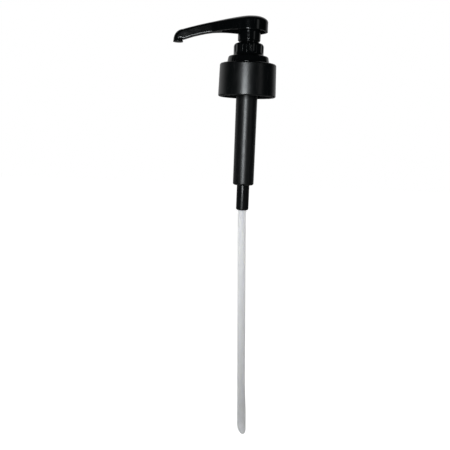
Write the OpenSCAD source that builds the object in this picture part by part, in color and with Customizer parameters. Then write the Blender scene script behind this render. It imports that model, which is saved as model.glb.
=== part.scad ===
// Lock-down syrup pump for a bottle with a 38 mm neck finish, in millimetres.
// +Z is up and the spout points along -X. The origin is on the pump's axis, in the plane where
// the gasket meets the bottle's rim. The head is drawn screwed down into its collar.

/* [Bottle seal] */
// Gap between the sealing gasket and the root of the closure's thread
gasket_inset = 1.05; // [0.5:0.05:2]
// Thickness of the sealing gasket
gasket_t = 1.5; // [1:0.1:2.5]

/* [Closure] */
// Bore of the closure at the root of its thread
closure_bore_d = 38.1; // [37.6:0.1:38.6]
// Thickness of the closure's wall, taken to its top edge
closure_top_wall = 1.65; // [1.2:0.05:3]
// Thickness of the closure's wall at its mouth
closure_mouth_wall = 2.3; // [1.6:0.05:4]
// Height of the closure
closure_h = 23.6; // [18:0.1:30]
// Thickness of the closure's roof
closure_roof_t = 1.8; // [1.2:0.1:3]
// Rounding of the closure's top edge
closure_crown_r = 1.2; // [0.6:0.1:2.6]
// Rounding of the closure's lower edge
closure_lip_r = 1.1; // [0.3:0.1:1.4]

/* [Barrel] */
// Thickness of the barrel's wall just under its flange
barrel_top_wall = 1.2; // [1:0.05:1.6]
// Thickness of the barrel's wall at its foot
barrel_foot_wall = 1.1; // [0.9:0.05:1.5]
// Thickness of the barrel's floor
barrel_floor_t = 2; // [1.4:0.1:3]
// Height of the upright land at the barrel's foot, below its taper
barrel_land_h = 3; // [1.5:0.1:6]
// Rounding of the barrel's foot
barrel_foot_r = 1.5; // [0.3:0.1:1.6]
// Gap between the flange that the closure clamps and the root of the closure's thread
flange_inset = 0.85; // [0.5:0.05:2]
// Thickness of that flange
flange_t = 2; // [1.4:0.1:3]
// Thickness of the wall of the neck that carries the lock collar
neck_wall = 2.35; // [2:0.05:2.6]
// Height of that neck above the flange
neck_h = 9; // [8.5:0.1:10]
// Diameter of the air vent in the barrel
vent_d = 1.6; // [1:0.1:2.4]
// Depth of the air vent below the flange
vent_drop = 6; // [4:0.1:12]

/* [Lock collar] */
// Thickness of the collar's wall round the neck
collar_wall = 1.9; // [1.4:0.05:3]
// Height of the grip above the collar's flange
collar_grip_h = 9.2; // [8:0.1:11]
// Rounding of the grip's upper edge
collar_crown_r = 2.4; // [0.6:0.1:2.6]
// Width of the collar's flange beyond the grip, at its top
collar_flange_top_w = 3.6; // [3:0.1:4]
// Width of the collar's flange beyond the grip, at its foot
collar_flange_foot_w = 4.6; // [3.6:0.1:5.4]
// Height of the collar's flange
collar_flange_h = 5.1; // [4:0.1:6.2]
// Fillet between the grip and its flange
collar_fillet_r = 1.7; // [1:0.1:2.2]
// Rounding of the flange's upper edge
collar_flange_r = 1.3; // [0.3:0.1:1.4]
// Thickness of the web that holds the stem wiper down
collar_web_t = 1.2; // [0.8:0.1:1.8]
// Gap between the collar's socket and the head's spigot, which the lock thread fills
lock_clear = 0.7; // [0.4:0.05:0.8]
// Number of grip flutes
flute_count = 18; // [12:1:24]
// Depth of a grip flute
flute_depth = 0.35; // [0.2:0.05:0.5]
// Radius of a grip flute
flute_r = 6; // [4:0.5:9]
// Height of the plain band below the flutes
flute_band = 2.6; // [2.4:0.1:4]

/* [Stem and guide] */
// Diameter of the stem
stem_d = 9.2; // [8.6:0.1:9.4]
// Bore of the stem
stem_bore_d = 5.2; // [4.6:0.1:5.6]
// Width of the stem's shoulder over the piston
stem_shoulder_w = 1.2; // [0.8:0.1:1.6]
// Thickness of that shoulder
stem_shoulder_t = 1.5; // [1:0.1:2.5]
// Stroke of the plunger
stroke = 52; // [40:0.5:54]
// Thickness of the guide bush's flange
guide_flange_t = 1; // [0.8:0.1:1.4]
// Length of the guide bush inside the barrel
guide_spigot_h = 4; // [2.5:0.1:5]
// Thickness of the stem wiper
wiper_t = 1.2; // [0.8:0.1:1.5]

/* [Piston] */
// Width of the ring between the stem and the barrel's bore, which the piston fills
piston_ring_w = 2.15; // [2:0.05:2.6]
// Length of the piston
piston_h = 9.5; // [8:0.1:11]
// Thickness of the piston's sleeve round the stem
piston_sleeve_t = 0.6; // [0.4:0.1:0.8]
// Thickness of the piston's lips
piston_lip_t = 0.35; // [0.25:0.05:0.5]
// Depth of the hollow behind each lip
piston_hollow = 1.6; // [1:0.1:2.2]
// Length of each lip, from its edge to the piston's waist
piston_lip_h = 2.4; // [2:0.1:3.6]
// Thickness of the retainer's flange under the piston
retainer_flange_t = 1.8; // [1.2:0.1:2.6]
// Length of the retainer's spigot inside the stem
retainer_spigot_h = 8; // [5:0.1:12]
// Height of the boss that centres the spring
retainer_boss_h = 2.5; // [1.5:0.1:4]
// Bore through the retainer
retainer_bore_d = 3.2; // [2.4:0.1:3.6]

/* [Return spring] */
// Wire diameter
spring_wire_d = 1.1; // [0.8:0.05:1.2]
// Gap between the coil and the barrel's bore
spring_clear = 0.6; // [0.4:0.05:0.7]
// Height of the spring while the head is screwed down
spring_h = 18.2; // [17:0.1:30]
// Number of turns
spring_turns = 10; // [6:1:11]

/* [Valves] */
// Width of a valve seat's mouth beyond its ball
seat_margin = 0.6; // [0.3:0.1:0.7]
// Diameter of the inlet ball
inlet_ball_d = 6.35; // [6:0.05:6.8]
// Lift of the inlet ball
inlet_lift = 2.5; // [1.5:0.1:3]
// Hole under the inlet ball
inlet_hole_d = 4.2; // [3.6:0.1:4.2]
// Diameter of the outlet ball
outlet_ball_d = 5; // [4.8:0.05:5.6]
// Lift of the outlet ball
outlet_lift = 2; // [1.2:0.1:2.4]
// Hole under the outlet ball
outlet_hole_d = 3.2; // [2.6:0.1:3.2]
// Gap round the outlet ball in its chamber
chamber_clear = 0.9; // [0.6:0.05:1.2]
// Height of the ball cage's base ring
cage_base_h = 3.6; // [3:0.1:4.5]
// Thickness of the ball cage's wall
cage_wall_t = 0.8; // [0.6:0.05:0.9]
// Thickness of the ball cage's roof
cage_roof_t = 1.4; // [1:0.1:2]
// Number of flow slots in the ball cage
cage_slots = 4; // [3:1:6]
// Width of a flow slot
cage_slot_w = 2.4; // [1.6:0.1:2.6]

/* [Tube adaptor] */
// Thickness of the adaptor's wall round the dip tube
adaptor_wall = 1.68; // [1.4:0.02:2.1]
// Length of the adaptor below the barrel
adaptor_h = 19.2; // [17:0.1:30]
// Gap between the adaptor's shoulder and the barrel's bore
adaptor_clear = 0.35; // [0.2:0.05:0.6]
// Thickness of that shoulder
adaptor_shoulder_t = 2.5; // [2.2:0.1:3.5]
// Rounding of the adaptor's lower end
adaptor_end_r = 1.3; // [0.3:0.1:1.5]

/* [Dip tube] */
// Diameter of the dip tube
tube_d = 6.1; // [5.6:0.1:6.4]
// Thickness of the dip tube's wall
tube_wall = 0.9; // [0.6:0.05:1.3]
// Length of the dip tube inside the adaptor
tube_grip = 16; // [12:0.1:17]
// Length of the dip tube below the adaptor, along its centre line
tube_free = 179; // [120:1:260]
// Straight run below the adaptor before the tube bends
tube_lead = 1; // [0.5:0.1:4]
// Radius of the tube's set bend
tube_bend_r = 300; // [150:5:600]
// Angle of the tube's set bend, away from the spout
tube_bend = 2.1; // [0.5:0.1:5]
// Angle of the slash cut at the tube's end
tube_cut = 57; // [20:1:60]
// Direction that the tip of the slash cut faces, turned from the pump's right hand side
tube_cut_turn = -67; // [-180:1:180]

/* [Press head] */
// Radius of the round head
head_r = 13.4; // [13:0.1:15]
// Height of the head from its rim to its crown
head_h = 10.7; // [10.4:0.1:13]
// Height of the head's upright side wall
head_wall_h = 6.5; // [5.5:0.1:7]
// Radius of the flat on the head's crown
head_flat_r = 3; // [1:0.1:5]
// Thickness of the head's skirt
head_skirt_t = 1.8; // [1.4:0.1:2.4]
// Depth of the hollow inside the head
head_hollow_h = 5.6; // [3:0.1:6]
// Distance in front of the axis to which that hollow reaches into the spout
head_hollow_reach = 20; // [15:0.1:21]
// Thickness of the rib round the spout's bore inside the hollow
bore_rib_wall = 0.9; // [0.7:0.05:1.4]
// Thickness of the wall of the spigot that screws into the collar
lock_spigot_wall = 2.7; // [2.4:0.05:2.9]
// Width of the step from that spigot to the lock neck
lock_neck_step = 0.95; // [0.6:0.05:1]
// Growth of the lock neck's radius from its lower end up to the head
lock_neck_flare = 0.1; // [0.05:0.05:0.6]
// Height of the lock neck
lock_neck_h = 7.1; // [5:0.1:12]
// Chamfer at the lock neck's lower end
lock_neck_chamfer = 0.8; // [0.2:0.1:0.8]
// Gap between the lock neck and the collar when screwed down
lock_gap = 1.2; // [0.6:0.1:3]
// Length of the stem inside the head's rim
stem_head_grip = 2.5; // [1.5:0.1:3.2]

/* [Spout] */
// Reach of the spout from the axis to the seam of its nozzle tip
spout_reach = 48.1; // [40:0.1:52]
// Width of the spout
spout_w = 6.7; // [6.5:0.1:8]
// Fall of the spout's upper line where it leaves the crown, in degrees
spout_fall = 8; // [7:0.1:10]
// Radius over which that line arches down towards the nozzle tip
spout_arch_r = 290; // [240:10:500]
// Radius of the spout's hollow underside
spout_sag_r = 109; // [98:1:125]
// Distance behind the axis line at which that underside starts to fall
spout_root = 10; // [8:0.1:12]
// Half angle of the spout's taper into the head, in plan
spout_taper = 22.8; // [18:0.1:26]
// Distance in front of the axis at which the spout's upper line meets the crown
spout_crest = 1.4; // [0:0.1:4]
// Softness of the blend from that line into the crown
crown_blend = 0.5; // [0.2:0.1:1.5]
// Softness of the blend from the taper into the parallel spout, in plan
taper_blend = 1.2; // [0.4:0.1:2.4]
// Height of the spout's upper rounding
spout_crown_h = 1.9; // [1.2:0.1:2.6]
// Share of the half width that the upper rounding of the head and spout takes up
crown_share = 0.85; // [0.6:0.05:0.95]
// Rounding of the lower edges of the head and spout
spout_edge_r = 0.8; // [0.4:0.1:1.7]
// Bore of the spout
spout_bore_d = 3.8; // [3:0.1:4]
// Height of the spout's bore above the head's rim, at the axis
spout_bore_rise = 7.5; // [7:0.1:7.8]

/* [Nozzle tip] */
// Thickness of the nozzle tip at its outlet, along the spout
nozzle_outlet_l = 7.3; // [6.4:0.1:8]
// Width of the nozzle tip at its outlet, across the spout
nozzle_outlet_w = 7.2; // [6.4:0.1:8]
// Growth of the nozzle tip from the end of its turn to its outlet, all round
nozzle_flare = 0.25; // [0.1:0.05:0.5]
// Half width of the flats that the nozzle tip's rounding leaves on its four sides
nozzle_flat = 0.15; // [0.1:0.05:0.5]
// Radius of the inner corner of the nozzle tip's turn
nozzle_inner_r = 0.3; // [0.2:0.1:1.5]
// Share of the turn over which the nozzle tip swells to its thickness
nozzle_swell = 0.75; // [0.5:0.05:1]
// Straight length of the nozzle tip below its turn
nozzle_drop = 1.7; // [0.6:0.1:6]
// Step at the seam between spout and nozzle tip
nozzle_step = 0.15; // [0.05:0.05:0.3]
// Bore of the nozzle tip's outlet
nozzle_bore_d = 4.2; // [3:0.1:4.6]
// Thickness of the wall of the plug that holds the nozzle tip in the spout
plug_wall = 0.7; // [0.5:0.05:0.8]
// Length of that plug
plug_h = 6; // [4:0.1:8]

/* [Clearances] */
// Radial gap of a sliding or turning fit
running_gap = 0.05; // [0.02:0.01:0.09]
// Radial gap of a joint that is pressed or snapped together
press_gap = 0.02; // [0.01:0.01:0.05]
// Gap between pieces that pass or face each other
free_gap = 0.3; // [0.2:0.05:0.5]
// End play of the piston on its stem
piston_play = 0.1; // [0.05:0.05:0.3]

/* [Hidden] */
$fn = 96;
cut = 1;
black = [0.06, 0.06, 0.065];
natural = [0.87, 0.87, 0.84];
clear_grey = [0.80, 0.81, 0.80];
steel = [0.72, 0.73, 0.75];

// Diameters, worked out from the stem and the closure's bore by walls and gaps
barrel_bore_d = stem_d + 2 * piston_ring_w;
barrel_top_d = barrel_bore_d + 2 * barrel_top_wall;
barrel_foot_d = barrel_bore_d + 2 * barrel_foot_wall;
neck_d = barrel_bore_d + 2 * neck_wall;
collar_d = neck_d + 2 * collar_wall;
collar_flange_top_d = collar_d + 2 * collar_flange_top_w;
collar_flange_foot_d = collar_d + 2 * collar_flange_foot_w;
closure_top_d = closure_bore_d + 2 * closure_top_wall;
closure_mouth_d = closure_bore_d + 2 * closure_mouth_wall;
flange_d = closure_bore_d - 2 * flange_inset;
gasket_d = closure_bore_d - 2 * gasket_inset;
lock_spigot_d = stem_d + 2 * lock_spigot_wall;
lock_socket_d = lock_spigot_d + 2 * lock_clear;
lock_neck_end_d = lock_spigot_d + 2 * lock_neck_step;
lock_neck_top_d = lock_neck_end_d + 2 * lock_neck_flare;
stem_shoulder_d = stem_d + 2 * stem_shoulder_w;
spring_mean_d = barrel_bore_d - 2 * spring_clear - spring_wire_d;
outlet_chamber_d = outlet_ball_d + 2 * chamber_clear;
tube_bore_d = tube_d - 2 * tube_wall;
adaptor_d = tube_d + 2 * press_gap + 2 * adaptor_wall;
adaptor_shoulder_d = barrel_bore_d - 2 * adaptor_clear;
plug_d = spout_bore_d + 2 * plug_wall;

// Levels from the bottle's rim upwards
flange_z = gasket_t;
roof_z = flange_z + flange_t + free_gap;
closure_z = roof_z + closure_roof_t;
collar_z = closure_z + free_gap;
grip_z = collar_z + collar_flange_h;
collar_top_z = grip_z + collar_grip_h;
neck_top_z = flange_z + flange_t + neck_h;
wiper_z = neck_top_z + guide_flange_t;
web_z = wiper_z + wiper_t;
socket_z = web_z + collar_web_t;
spigot_z = socket_z + free_gap;
lock_neck_z = collar_top_z + lock_gap;
rim_z = lock_neck_z + lock_neck_h;
crown_z = rim_z + head_h;
wall_z = rim_z + head_wall_h;
stem_top_z = rim_z + stem_head_grip;

// Levels of the plunger's lower end
shoulder_top_z = neck_top_z - guide_spigot_h - free_gap - stroke;
shoulder_z = shoulder_top_z - stem_shoulder_t;
piston_top_z = shoulder_z - piston_play;
piston_z = piston_top_z - piston_h;
retainer_top_z = piston_z - piston_play;
retainer_z = retainer_top_z - retainer_flange_t;

// Levels of the foot valve, down from the retainer by the spring's height
ledge_z = retainer_z - spring_h;
adaptor_top_z = ledge_z - cage_base_h;
floor_z = adaptor_top_z - adaptor_shoulder_t;
foot_z = floor_z - barrel_floor_t;
adaptor_end_z = foot_z - adaptor_h;
inlet_ball_r = inlet_ball_d / 2;
outlet_ball_r = outlet_ball_d / 2;

// A valve seat is a cone of 45 degrees, so a ball's centre is sqrt(2) radii above its apex
inlet_mouth_r = inlet_ball_r + seat_margin;
inlet_apex_z = adaptor_top_z - inlet_mouth_r;
inlet_ball_z = inlet_apex_z + (inlet_ball_r + press_gap) * sqrt(2);
cage_bore_r = inlet_mouth_r;
cage_roof_z = inlet_ball_z + inlet_ball_r + inlet_lift + free_gap;
cage_dome_r = cage_bore_r + cage_wall_t;
outlet_mouth_r = outlet_ball_r + seat_margin;
outlet_apex_z = stem_top_z - outlet_mouth_r;
outlet_ball_z = outlet_apex_z + (outlet_ball_r + press_gap) * sqrt(2);
chamber_top_z = outlet_ball_z + outlet_ball_r + outlet_lift + free_gap;

// Section of the spout at the seam of the nozzle tip, and the line of its bore
seam_x = -spout_reach;
seam_top_z = top_z(seam_x);
seam_foot_z = underside_z(seam_x);
bore_axis_z = rim_z + spout_bore_rise;
bore_seam_z = (seam_top_z + seam_foot_z) / 2;
bore_fall = atan((bore_axis_z - bore_seam_z) / spout_reach);
nozzle_hinge_z = seam_foot_z - nozzle_inner_r;
nozzle_waist_l = nozzle_outlet_l - 2 * nozzle_flare;
nozzle_waist_w = nozzle_outlet_w - 2 * nozzle_flare;
outlet_x = seam_x - nozzle_inner_r - nozzle_waist_l / 2;

// Where the head's loft starts, in degrees from the back of its circle, and the largest share of
// a narrow section's half width that its lower rounding may take
head_start = 2;
edge_share = 0.4;

// Faceting of the lofted forms
head_steps = 14;
spout_steps = 22;
nozzle_steps = 12;
corner_steps = 7;
edge_steps = 3;
spring_steps = 8;
spring_sides = 6;
tube_sides = 32;
tube_bend_steps = 4;

function unit(v) = v / norm(v);
function mix(a, b, t) = a + (b - a) * t;
function ease(t) = t <= 0 ? 0 : t >= 1 ? 1 : t * t * (3 - 2 * t);
function soft_min(a, b, k) = (a + b - sqrt((a - b) * (a - b) + k * k)) / 2;
function soft_max(a, b, k) = (a + b + sqrt((a - b) * (a - b) + k * k)) / 2;

// Half width of the head and spout in plan: a circle, its tangent taper, then the parallel spout
function taper_x() = -head_r * sin(spout_taper);
function taper_y(x) = (head_r + x * sin(spout_taper)) / cos(spout_taper);
function half_w(x) = x > taper_x() ? sqrt(head_r * head_r - x * x)
                                   : soft_max(taper_y(x), spout_w / 2, taper_blend);

// Upper and lower lines of the head and spout in side view
function dome_z(x) = x < head_flat_r ? crown_z
    : wall_z + (crown_z - wall_z) * sqrt(1 - pow((x - head_flat_r) / (head_r - head_flat_r), 2));
function spout_z(out) = crown_z - out * tan(spout_fall) - out * out / (2 * spout_arch_r);
function top_z(x) = soft_min(spout_z(-x - spout_crest), dome_z(x), crown_blend);
function underside_z(x) = x > -spout_root ? rim_z
    : rim_z - spout_sag_r + sqrt(spout_sag_r * spout_sag_r - pow(x + spout_root, 2));

// Height of the upper rounding: the dome's on the head, easing to the spout's own
function crown_h(x) = x > 0 ? top_z(x) - wall_z
    : mix(spout_crown_h, top_z(0) - wall_z,
          (half_w(x) - spout_w / 2) / (head_r - spout_w / 2));

// A closed section with elliptical corners: [across, up] points from the lower right corner round
function section(w, low, high, top_a, top_c, low_a, low_c) = concat(
    [for (i = [0 : edge_steps]) let (t = -90 + 90 * i / edge_steps)
        [w - low_a + low_a * cos(t), low + low_c + low_c * sin(t)]],
    [for (i = [0 : corner_steps]) let (t = 90 * i / corner_steps)
        [w - top_a + top_a * cos(t), high - top_c + top_c * sin(t)]],
    [for (i = [0 : corner_steps]) let (t = 90 + 90 * i / corner_steps)
        [-w + top_a + top_a * cos(t), high - top_c + top_c * sin(t)]],
    [for (i = [0 : edge_steps]) let (t = 180 + 90 * i / edge_steps)
        [-w + low_a + low_a * cos(t), low + low_c + low_c * sin(t)]]);

// A skin over a list of rings that all have the same number of points, closed at both ends
module loft(rings) {
    n = len(rings[0]);
    last = len(rings) - 1;
    sides = [for (i = [0 : last - 1], j = [0 : n - 1], half = [0, 1])
        let (a = i * n + j, b = i * n + (j + 1) % n)
        half == 0 ? [a, b, b + n] : [a, b + n, a + n]];
    caps = [for (j = [1 : n - 2], far = [0, 1])
        far == 0 ? [0, j + 1, j] : [last * n, last * n + j, last * n + j + 1]];
    polyhedron([for (ring = rings) each ring], concat(sides, caps));
}

// A skin over rings that run out along one wall and back along the other, with no end caps
module closed_loop_loft(rings) {
    n = len(rings[0]);
    count = len(rings);
    polyhedron([for (ring = rings) each ring],
        [for (i = [0 : count - 1], j = [0 : n - 1], half = [0, 1])
            let (next = (i + 1) % count, side = (j + 1) % n,
                 a = i * n + j, b = i * n + side, c = next * n + side, d = next * n + j)
            half == 0 ? [a, b, c] : [a, c, d]]);
}

// The sliver between a corner of an outline and the arc that rounds it
module corner_sliver(before, corner, after, r) {
    u = unit(before - corner);
    v = unit(after - corner);
    half = acos(u * v) / 2;
    middle = unit(u + v);
    centre = corner + middle * r / sin(half);
    difference() {
        polygon([corner - middle * r, corner + u * r / tan(half), centre, corner + v * r / tan(half)]);
        translate(centre) circle(r);
    }
}

// The slivers at the corners of an outline that edges lists as [corner, radius]
module corner_slivers(outline, edges) {
    n = len(outline);
    for (e = edges)
        corner_sliver(outline[(e[0] + n - 1) % n], outline[e[0]], outline[(e[0] + 1) % n], e[1]);
}

// A turned piece from its half outline of [radius, z] points, with outer corners rounded and
// inner corners filleted; both lists hold [corner, radius]
module turned(outline, rounds = [], fillets = []) {
    rotate_extrude() {
        difference() {
            polygon(outline);
            corner_slivers(outline, rounds);
        }
        corner_slivers(outline, fillets);
    }
}

module bore(d, low, high) {
    translate([0, 0, low]) cylinder(d = d, h = high - low);
}

module head_shell() {
    stations = concat(
        [for (i = [0 : head_steps]) head_r * cos(mix(head_start, 90 + spout_taper, i / head_steps))],
        [for (i = [1 : spout_steps]) mix(taper_x(), seam_x, i / spout_steps)]);
    loft([for (x = stations)
        let (w = half_w(x), edge = min(spout_edge_r, edge_share * w))
        [for (p = section(w, underside_z(x), top_z(x), crown_share * w, crown_h(x), edge, edge))
            [x, p[0], p[1]]]]);
}

module lock_neck() {
    top_r = lock_neck_top_d / 2;
    end_r = lock_neck_end_d / 2;
    spigot_r = lock_spigot_d / 2;
    turned([[0, spigot_z], [spigot_r, spigot_z], [spigot_r, lock_neck_z],
            [end_r - lock_neck_chamfer, lock_neck_z], [end_r, lock_neck_z + lock_neck_chamfer],
            [top_r, rim_z], [top_r, rim_z + head_hollow_h + cut], [0, rim_z + head_hollow_h + cut]]);
}

// The hollow under the head follows the head's plan inside its skirt, and leaves a round rib
// standing along the spout's bore
module head_hollow() {
    r = head_r - head_skirt_t;
    root = [-r * sin(spout_taper), r * cos(spout_taper)];
    end = [-head_hollow_reach, (r - head_hollow_reach * sin(spout_taper)) / cos(spout_taper)];
    difference() {
        translate([0, 0, rim_z - cut]) linear_extrude(head_hollow_h + cut) {
            circle(r);
            polygon([root, end, [end[0], -end[1]], [root[0], -root[1]]]);
        }
        along_bore(0) cylinder(d = spout_bore_d + 2 * bore_rib_wall, h = spout_reach);
    }
}

// Along the spout's bore, from a distance in front of the axis
module along_bore(start) {
    translate([-start, 0, bore_axis_z - start * tan(bore_fall)]) rotate([0, -90 - bore_fall, 0]) children();
}

module actuator_head() {
    bore_start = outlet_chamber_d / 4;
    bore_run = (spout_reach - bore_start) / cos(bore_fall);
    plug_start = spout_reach - (plug_h + free_gap) * cos(bore_fall);
    color(black) difference() {
        union() {
            difference() {
                head_shell();
                head_hollow();
            }
            lock_neck();
        }
        bore(stem_d + 2 * press_gap, spigot_z - cut, stem_top_z + press_gap);
        bore(outlet_chamber_d, stem_top_z, chamber_top_z);
        along_bore(bore_start) cylinder(d = spout_bore_d, h = bore_run + cut);
        along_bore(plug_start) cylinder(d = plug_d + 2 * press_gap, h = plug_h + free_gap + 2 * cut);
    }
}

// The turn of the nozzle tip: sections that swing round a hinge line at the seam's lower edge
module nozzle_shell() {
    seam_w = half_w(seam_x) - nozzle_step;
    seam_r = seam_top_z - nozzle_step - nozzle_hinge_z;
    waist_r = nozzle_inner_r + nozzle_waist_l;
    waist_w = nozzle_waist_w / 2;
    turn = [for (i = [0 : nozzle_steps])
        let (t = i / nozzle_steps, s = ease(t), angle = 90 + 90 * t,
             high = mix(seam_r, waist_r, ease(t / nozzle_swell)),
             w = mix(seam_w, waist_w, s),
             round_a = mix(crown_share * seam_w, waist_w - nozzle_flat, s),
             round_c = mix(spout_crown_h, nozzle_waist_l / 2 - nozzle_flat, s),
             edge_a = mix(spout_edge_r, waist_w - nozzle_flat, s),
             edge_c = mix(spout_edge_r, nozzle_waist_l / 2 - nozzle_flat, s))
        [for (p = section(w, nozzle_inner_r, high, round_a, round_c, edge_a, edge_c))
            [seam_x + p[1] * cos(angle), p[0], nozzle_hinge_z + p[1] * sin(angle)]]];
    outlet = [for (p = turn[nozzle_steps])
        [outlet_x + (p[0] - outlet_x) * nozzle_outlet_l / nozzle_waist_l,
         p[1] * nozzle_outlet_w / nozzle_waist_w, p[2] - nozzle_drop]];
    loft(concat(turn, [outlet]));
}

module nozzle_tip() {
    plug_start = spout_reach - plug_h * cos(bore_fall);
    bore_run = (-outlet_x - plug_start) / cos(bore_fall);
    color(black) difference() {
        union() {
            nozzle_shell();
            along_bore(plug_start) cylinder(d = plug_d, h = plug_h + cut);
        }
        along_bore(plug_start - cut) cylinder(d = spout_bore_d, h = bore_run + cut);
        translate([outlet_x, 0, 0]) bore(nozzle_bore_d, nozzle_hinge_z - nozzle_drop - cut,
                                         bore_axis_z + outlet_x * tan(bore_fall) + spout_bore_d / 2);
    }
}

module stem() {
    r = stem_d / 2;
    color(natural) turned([
        [outlet_hole_d / 2, outlet_apex_z + outlet_hole_d / 2], [outlet_mouth_r, stem_top_z],
        [r, stem_top_z], [r, shoulder_top_z], [stem_shoulder_d / 2, shoulder_top_z],
        [stem_shoulder_d / 2, shoulder_z], [r, shoulder_z], [r, retainer_top_z],
        [stem_bore_d / 2, retainer_top_z], [stem_bore_d / 2, outlet_apex_z - stem_bore_d / 2],
        [outlet_hole_d / 2, outlet_apex_z - outlet_hole_d / 2]]);
}

module outlet_ball() {
    color(steel) translate([0, 0, outlet_ball_z]) sphere(d = outlet_ball_d);
}

module piston() {
    bore_r = stem_d / 2 + running_gap;
    lip_r = barrel_bore_d / 2 - running_gap;
    sleeve_r = bore_r + piston_sleeve_t;
    waist_r = lip_r - 2 * piston_lip_t;
    color(natural) turned([
        [bore_r, piston_z], [sleeve_r, piston_z], [sleeve_r, piston_z + piston_hollow],
        [waist_r - piston_lip_t, piston_z + piston_hollow], [lip_r - piston_lip_t, piston_z],
        [lip_r, piston_z], [lip_r, piston_z + piston_lip_t], [waist_r, piston_z + piston_lip_h],
        [waist_r, piston_top_z - piston_lip_h], [lip_r, piston_top_z - piston_lip_t],
        [lip_r, piston_top_z], [lip_r - piston_lip_t, piston_top_z],
        [waist_r - piston_lip_t, piston_top_z - piston_hollow], [sleeve_r, piston_top_z - piston_hollow],
        [sleeve_r, piston_top_z], [bore_r, piston_top_z]]);
}

module piston_retainer() {
    spigot_r = stem_bore_d / 2 - press_gap;
    flange_r = (barrel_bore_d - 2 * free_gap) / 2;
    boss_r = spring_core_r - free_gap;
    color(natural) turned([
        [retainer_bore_d / 2, retainer_z - retainer_boss_h], [boss_r, retainer_z - retainer_boss_h],
        [boss_r, retainer_z], [flange_r, retainer_z], [flange_r, retainer_top_z],
        [spigot_r, retainer_top_z], [spigot_r, retainer_top_z + retainer_spigot_h],
        [retainer_bore_d / 2, retainer_top_z + retainer_spigot_h]],
        [[1, free_gap]]);
}

// The spring stands between the cage's ledge and the retainer's flange
spring_r = spring_wire_d / 2;
spring_core_r = (spring_mean_d / 2 - spring_r) * cos(180 / spring_steps);
spring_foot_z = ledge_z + spring_r;
spring_rise = spring_h - spring_wire_d;
spring_lean = atan(spring_rise / (PI * spring_mean_d * spring_turns));
function spring_point(s) = let (angle = 360 * spring_turns * s)
    [spring_mean_d / 2 * cos(angle), spring_mean_d / 2 * sin(angle), spring_foot_z + spring_rise * s];
function spring_ring(s) = let (angle = 360 * spring_turns * s)
    [for (j = [0 : spring_sides - 1]) let (t = 360 * j / spring_sides)
        spring_point(s)
        + spring_r * cos(t) * [cos(angle), sin(angle), 0]
        + spring_r * sin(t) * [sin(angle) * sin(spring_lean), -cos(angle) * sin(spring_lean),
                               cos(spring_lean)]];
spring_count = spring_steps * spring_turns;
spring_gap = min([for (i = [0 : spring_count - spring_steps], j = [-1 : 1])
    if (i + spring_steps + j <= spring_count)
        norm(spring_point(i / spring_count) - spring_point((i + spring_steps + j) / spring_count))])
    - spring_wire_d;

module return_spring() {
    echo(least_gap_between_spring_turns = spring_gap);
    color(steel) loft([for (i = [0 : spring_count]) spring_ring(i / spring_count)]);
}

module lock_collar() {
    grip_r = collar_d / 2;
    neck_r = neck_d / 2 + press_gap;
    outline = [
        [neck_r, collar_z], [collar_flange_foot_d / 2, collar_z],
        [collar_flange_top_d / 2, grip_z], [grip_r, grip_z], [grip_r, collar_top_z],
        [lock_socket_d / 2, collar_top_z], [lock_socket_d / 2, socket_z],
        [stem_d / 2 + free_gap, socket_z], [stem_d / 2 + free_gap, web_z], [neck_r, web_z]];
    color(black) difference() {
        turned(outline, [[2, collar_flange_r], [4, collar_crown_r]], [[3, collar_fillet_r]]);
        for (i = [0 : flute_count - 1])
            rotate(360 * (i + 0.5) / flute_count)
                translate([grip_r - flute_depth + flute_r, 0, grip_z + flute_band])
                    cylinder(r = flute_r, h = collar_grip_h);
    }
}

module stem_wiper() {
    bore_r = stem_d / 2 + running_gap;
    color(natural) turned([
        [bore_r, wiper_z], [neck_d / 2 - press_gap, wiper_z], [neck_d / 2 - press_gap, web_z],
        [bore_r + wiper_t / 2, web_z], [bore_r, wiper_z + wiper_t / 2]]);
}

module stem_guide() {
    bore_r = stem_d / 2 + running_gap;
    spigot_r = barrel_bore_d / 2 - press_gap;
    color(natural) turned([
        [bore_r, neck_top_z - guide_spigot_h], [spigot_r, neck_top_z - guide_spigot_h],
        [spigot_r, neck_top_z], [neck_d / 2 - press_gap, neck_top_z], [neck_d / 2 - press_gap, wiper_z],
        [bore_r, wiper_z]]);
}

module closure() {
    top_r = closure_top_d / 2;
    mouth_r = closure_mouth_d / 2;
    bore_r = closure_bore_d / 2;
    hole_r = neck_d / 2 + free_gap;
    mouth_z = closure_z - closure_h;
    color(black) turned([
        [hole_r, roof_z], [bore_r, roof_z], [bore_r, mouth_z], [mouth_r, mouth_z],
        [top_r, closure_z], [hole_r, closure_z]],
        [[3, closure_lip_r], [4, closure_crown_r]]);
}

module sealing_gasket() {
    hole_r = barrel_top_d / 2 + free_gap;
    color(natural) turned([[hole_r, 0], [gasket_d / 2, 0], [gasket_d / 2, gasket_t], [hole_r, gasket_t]]);
}

module pump_cylinder() {
    bore_r = barrel_bore_d / 2;
    hole_r = adaptor_d / 2 + press_gap;
    color(black) difference() {
        turned([
            [hole_r, foot_z], [barrel_foot_d / 2, foot_z], [barrel_foot_d / 2, foot_z + barrel_land_h],
            [barrel_top_d / 2, flange_z],
            [flange_d / 2, flange_z], [flange_d / 2, flange_z + flange_t], [neck_d / 2, flange_z + flange_t],
            [neck_d / 2, neck_top_z], [bore_r, neck_top_z], [bore_r, floor_z], [hole_r, floor_z]],
            [[1, barrel_foot_r]]);
        translate([0, 0, flange_z - vent_drop]) rotate([-90, 0, 0]) cylinder(d = vent_d, h = barrel_top_d);
    }
}

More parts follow.
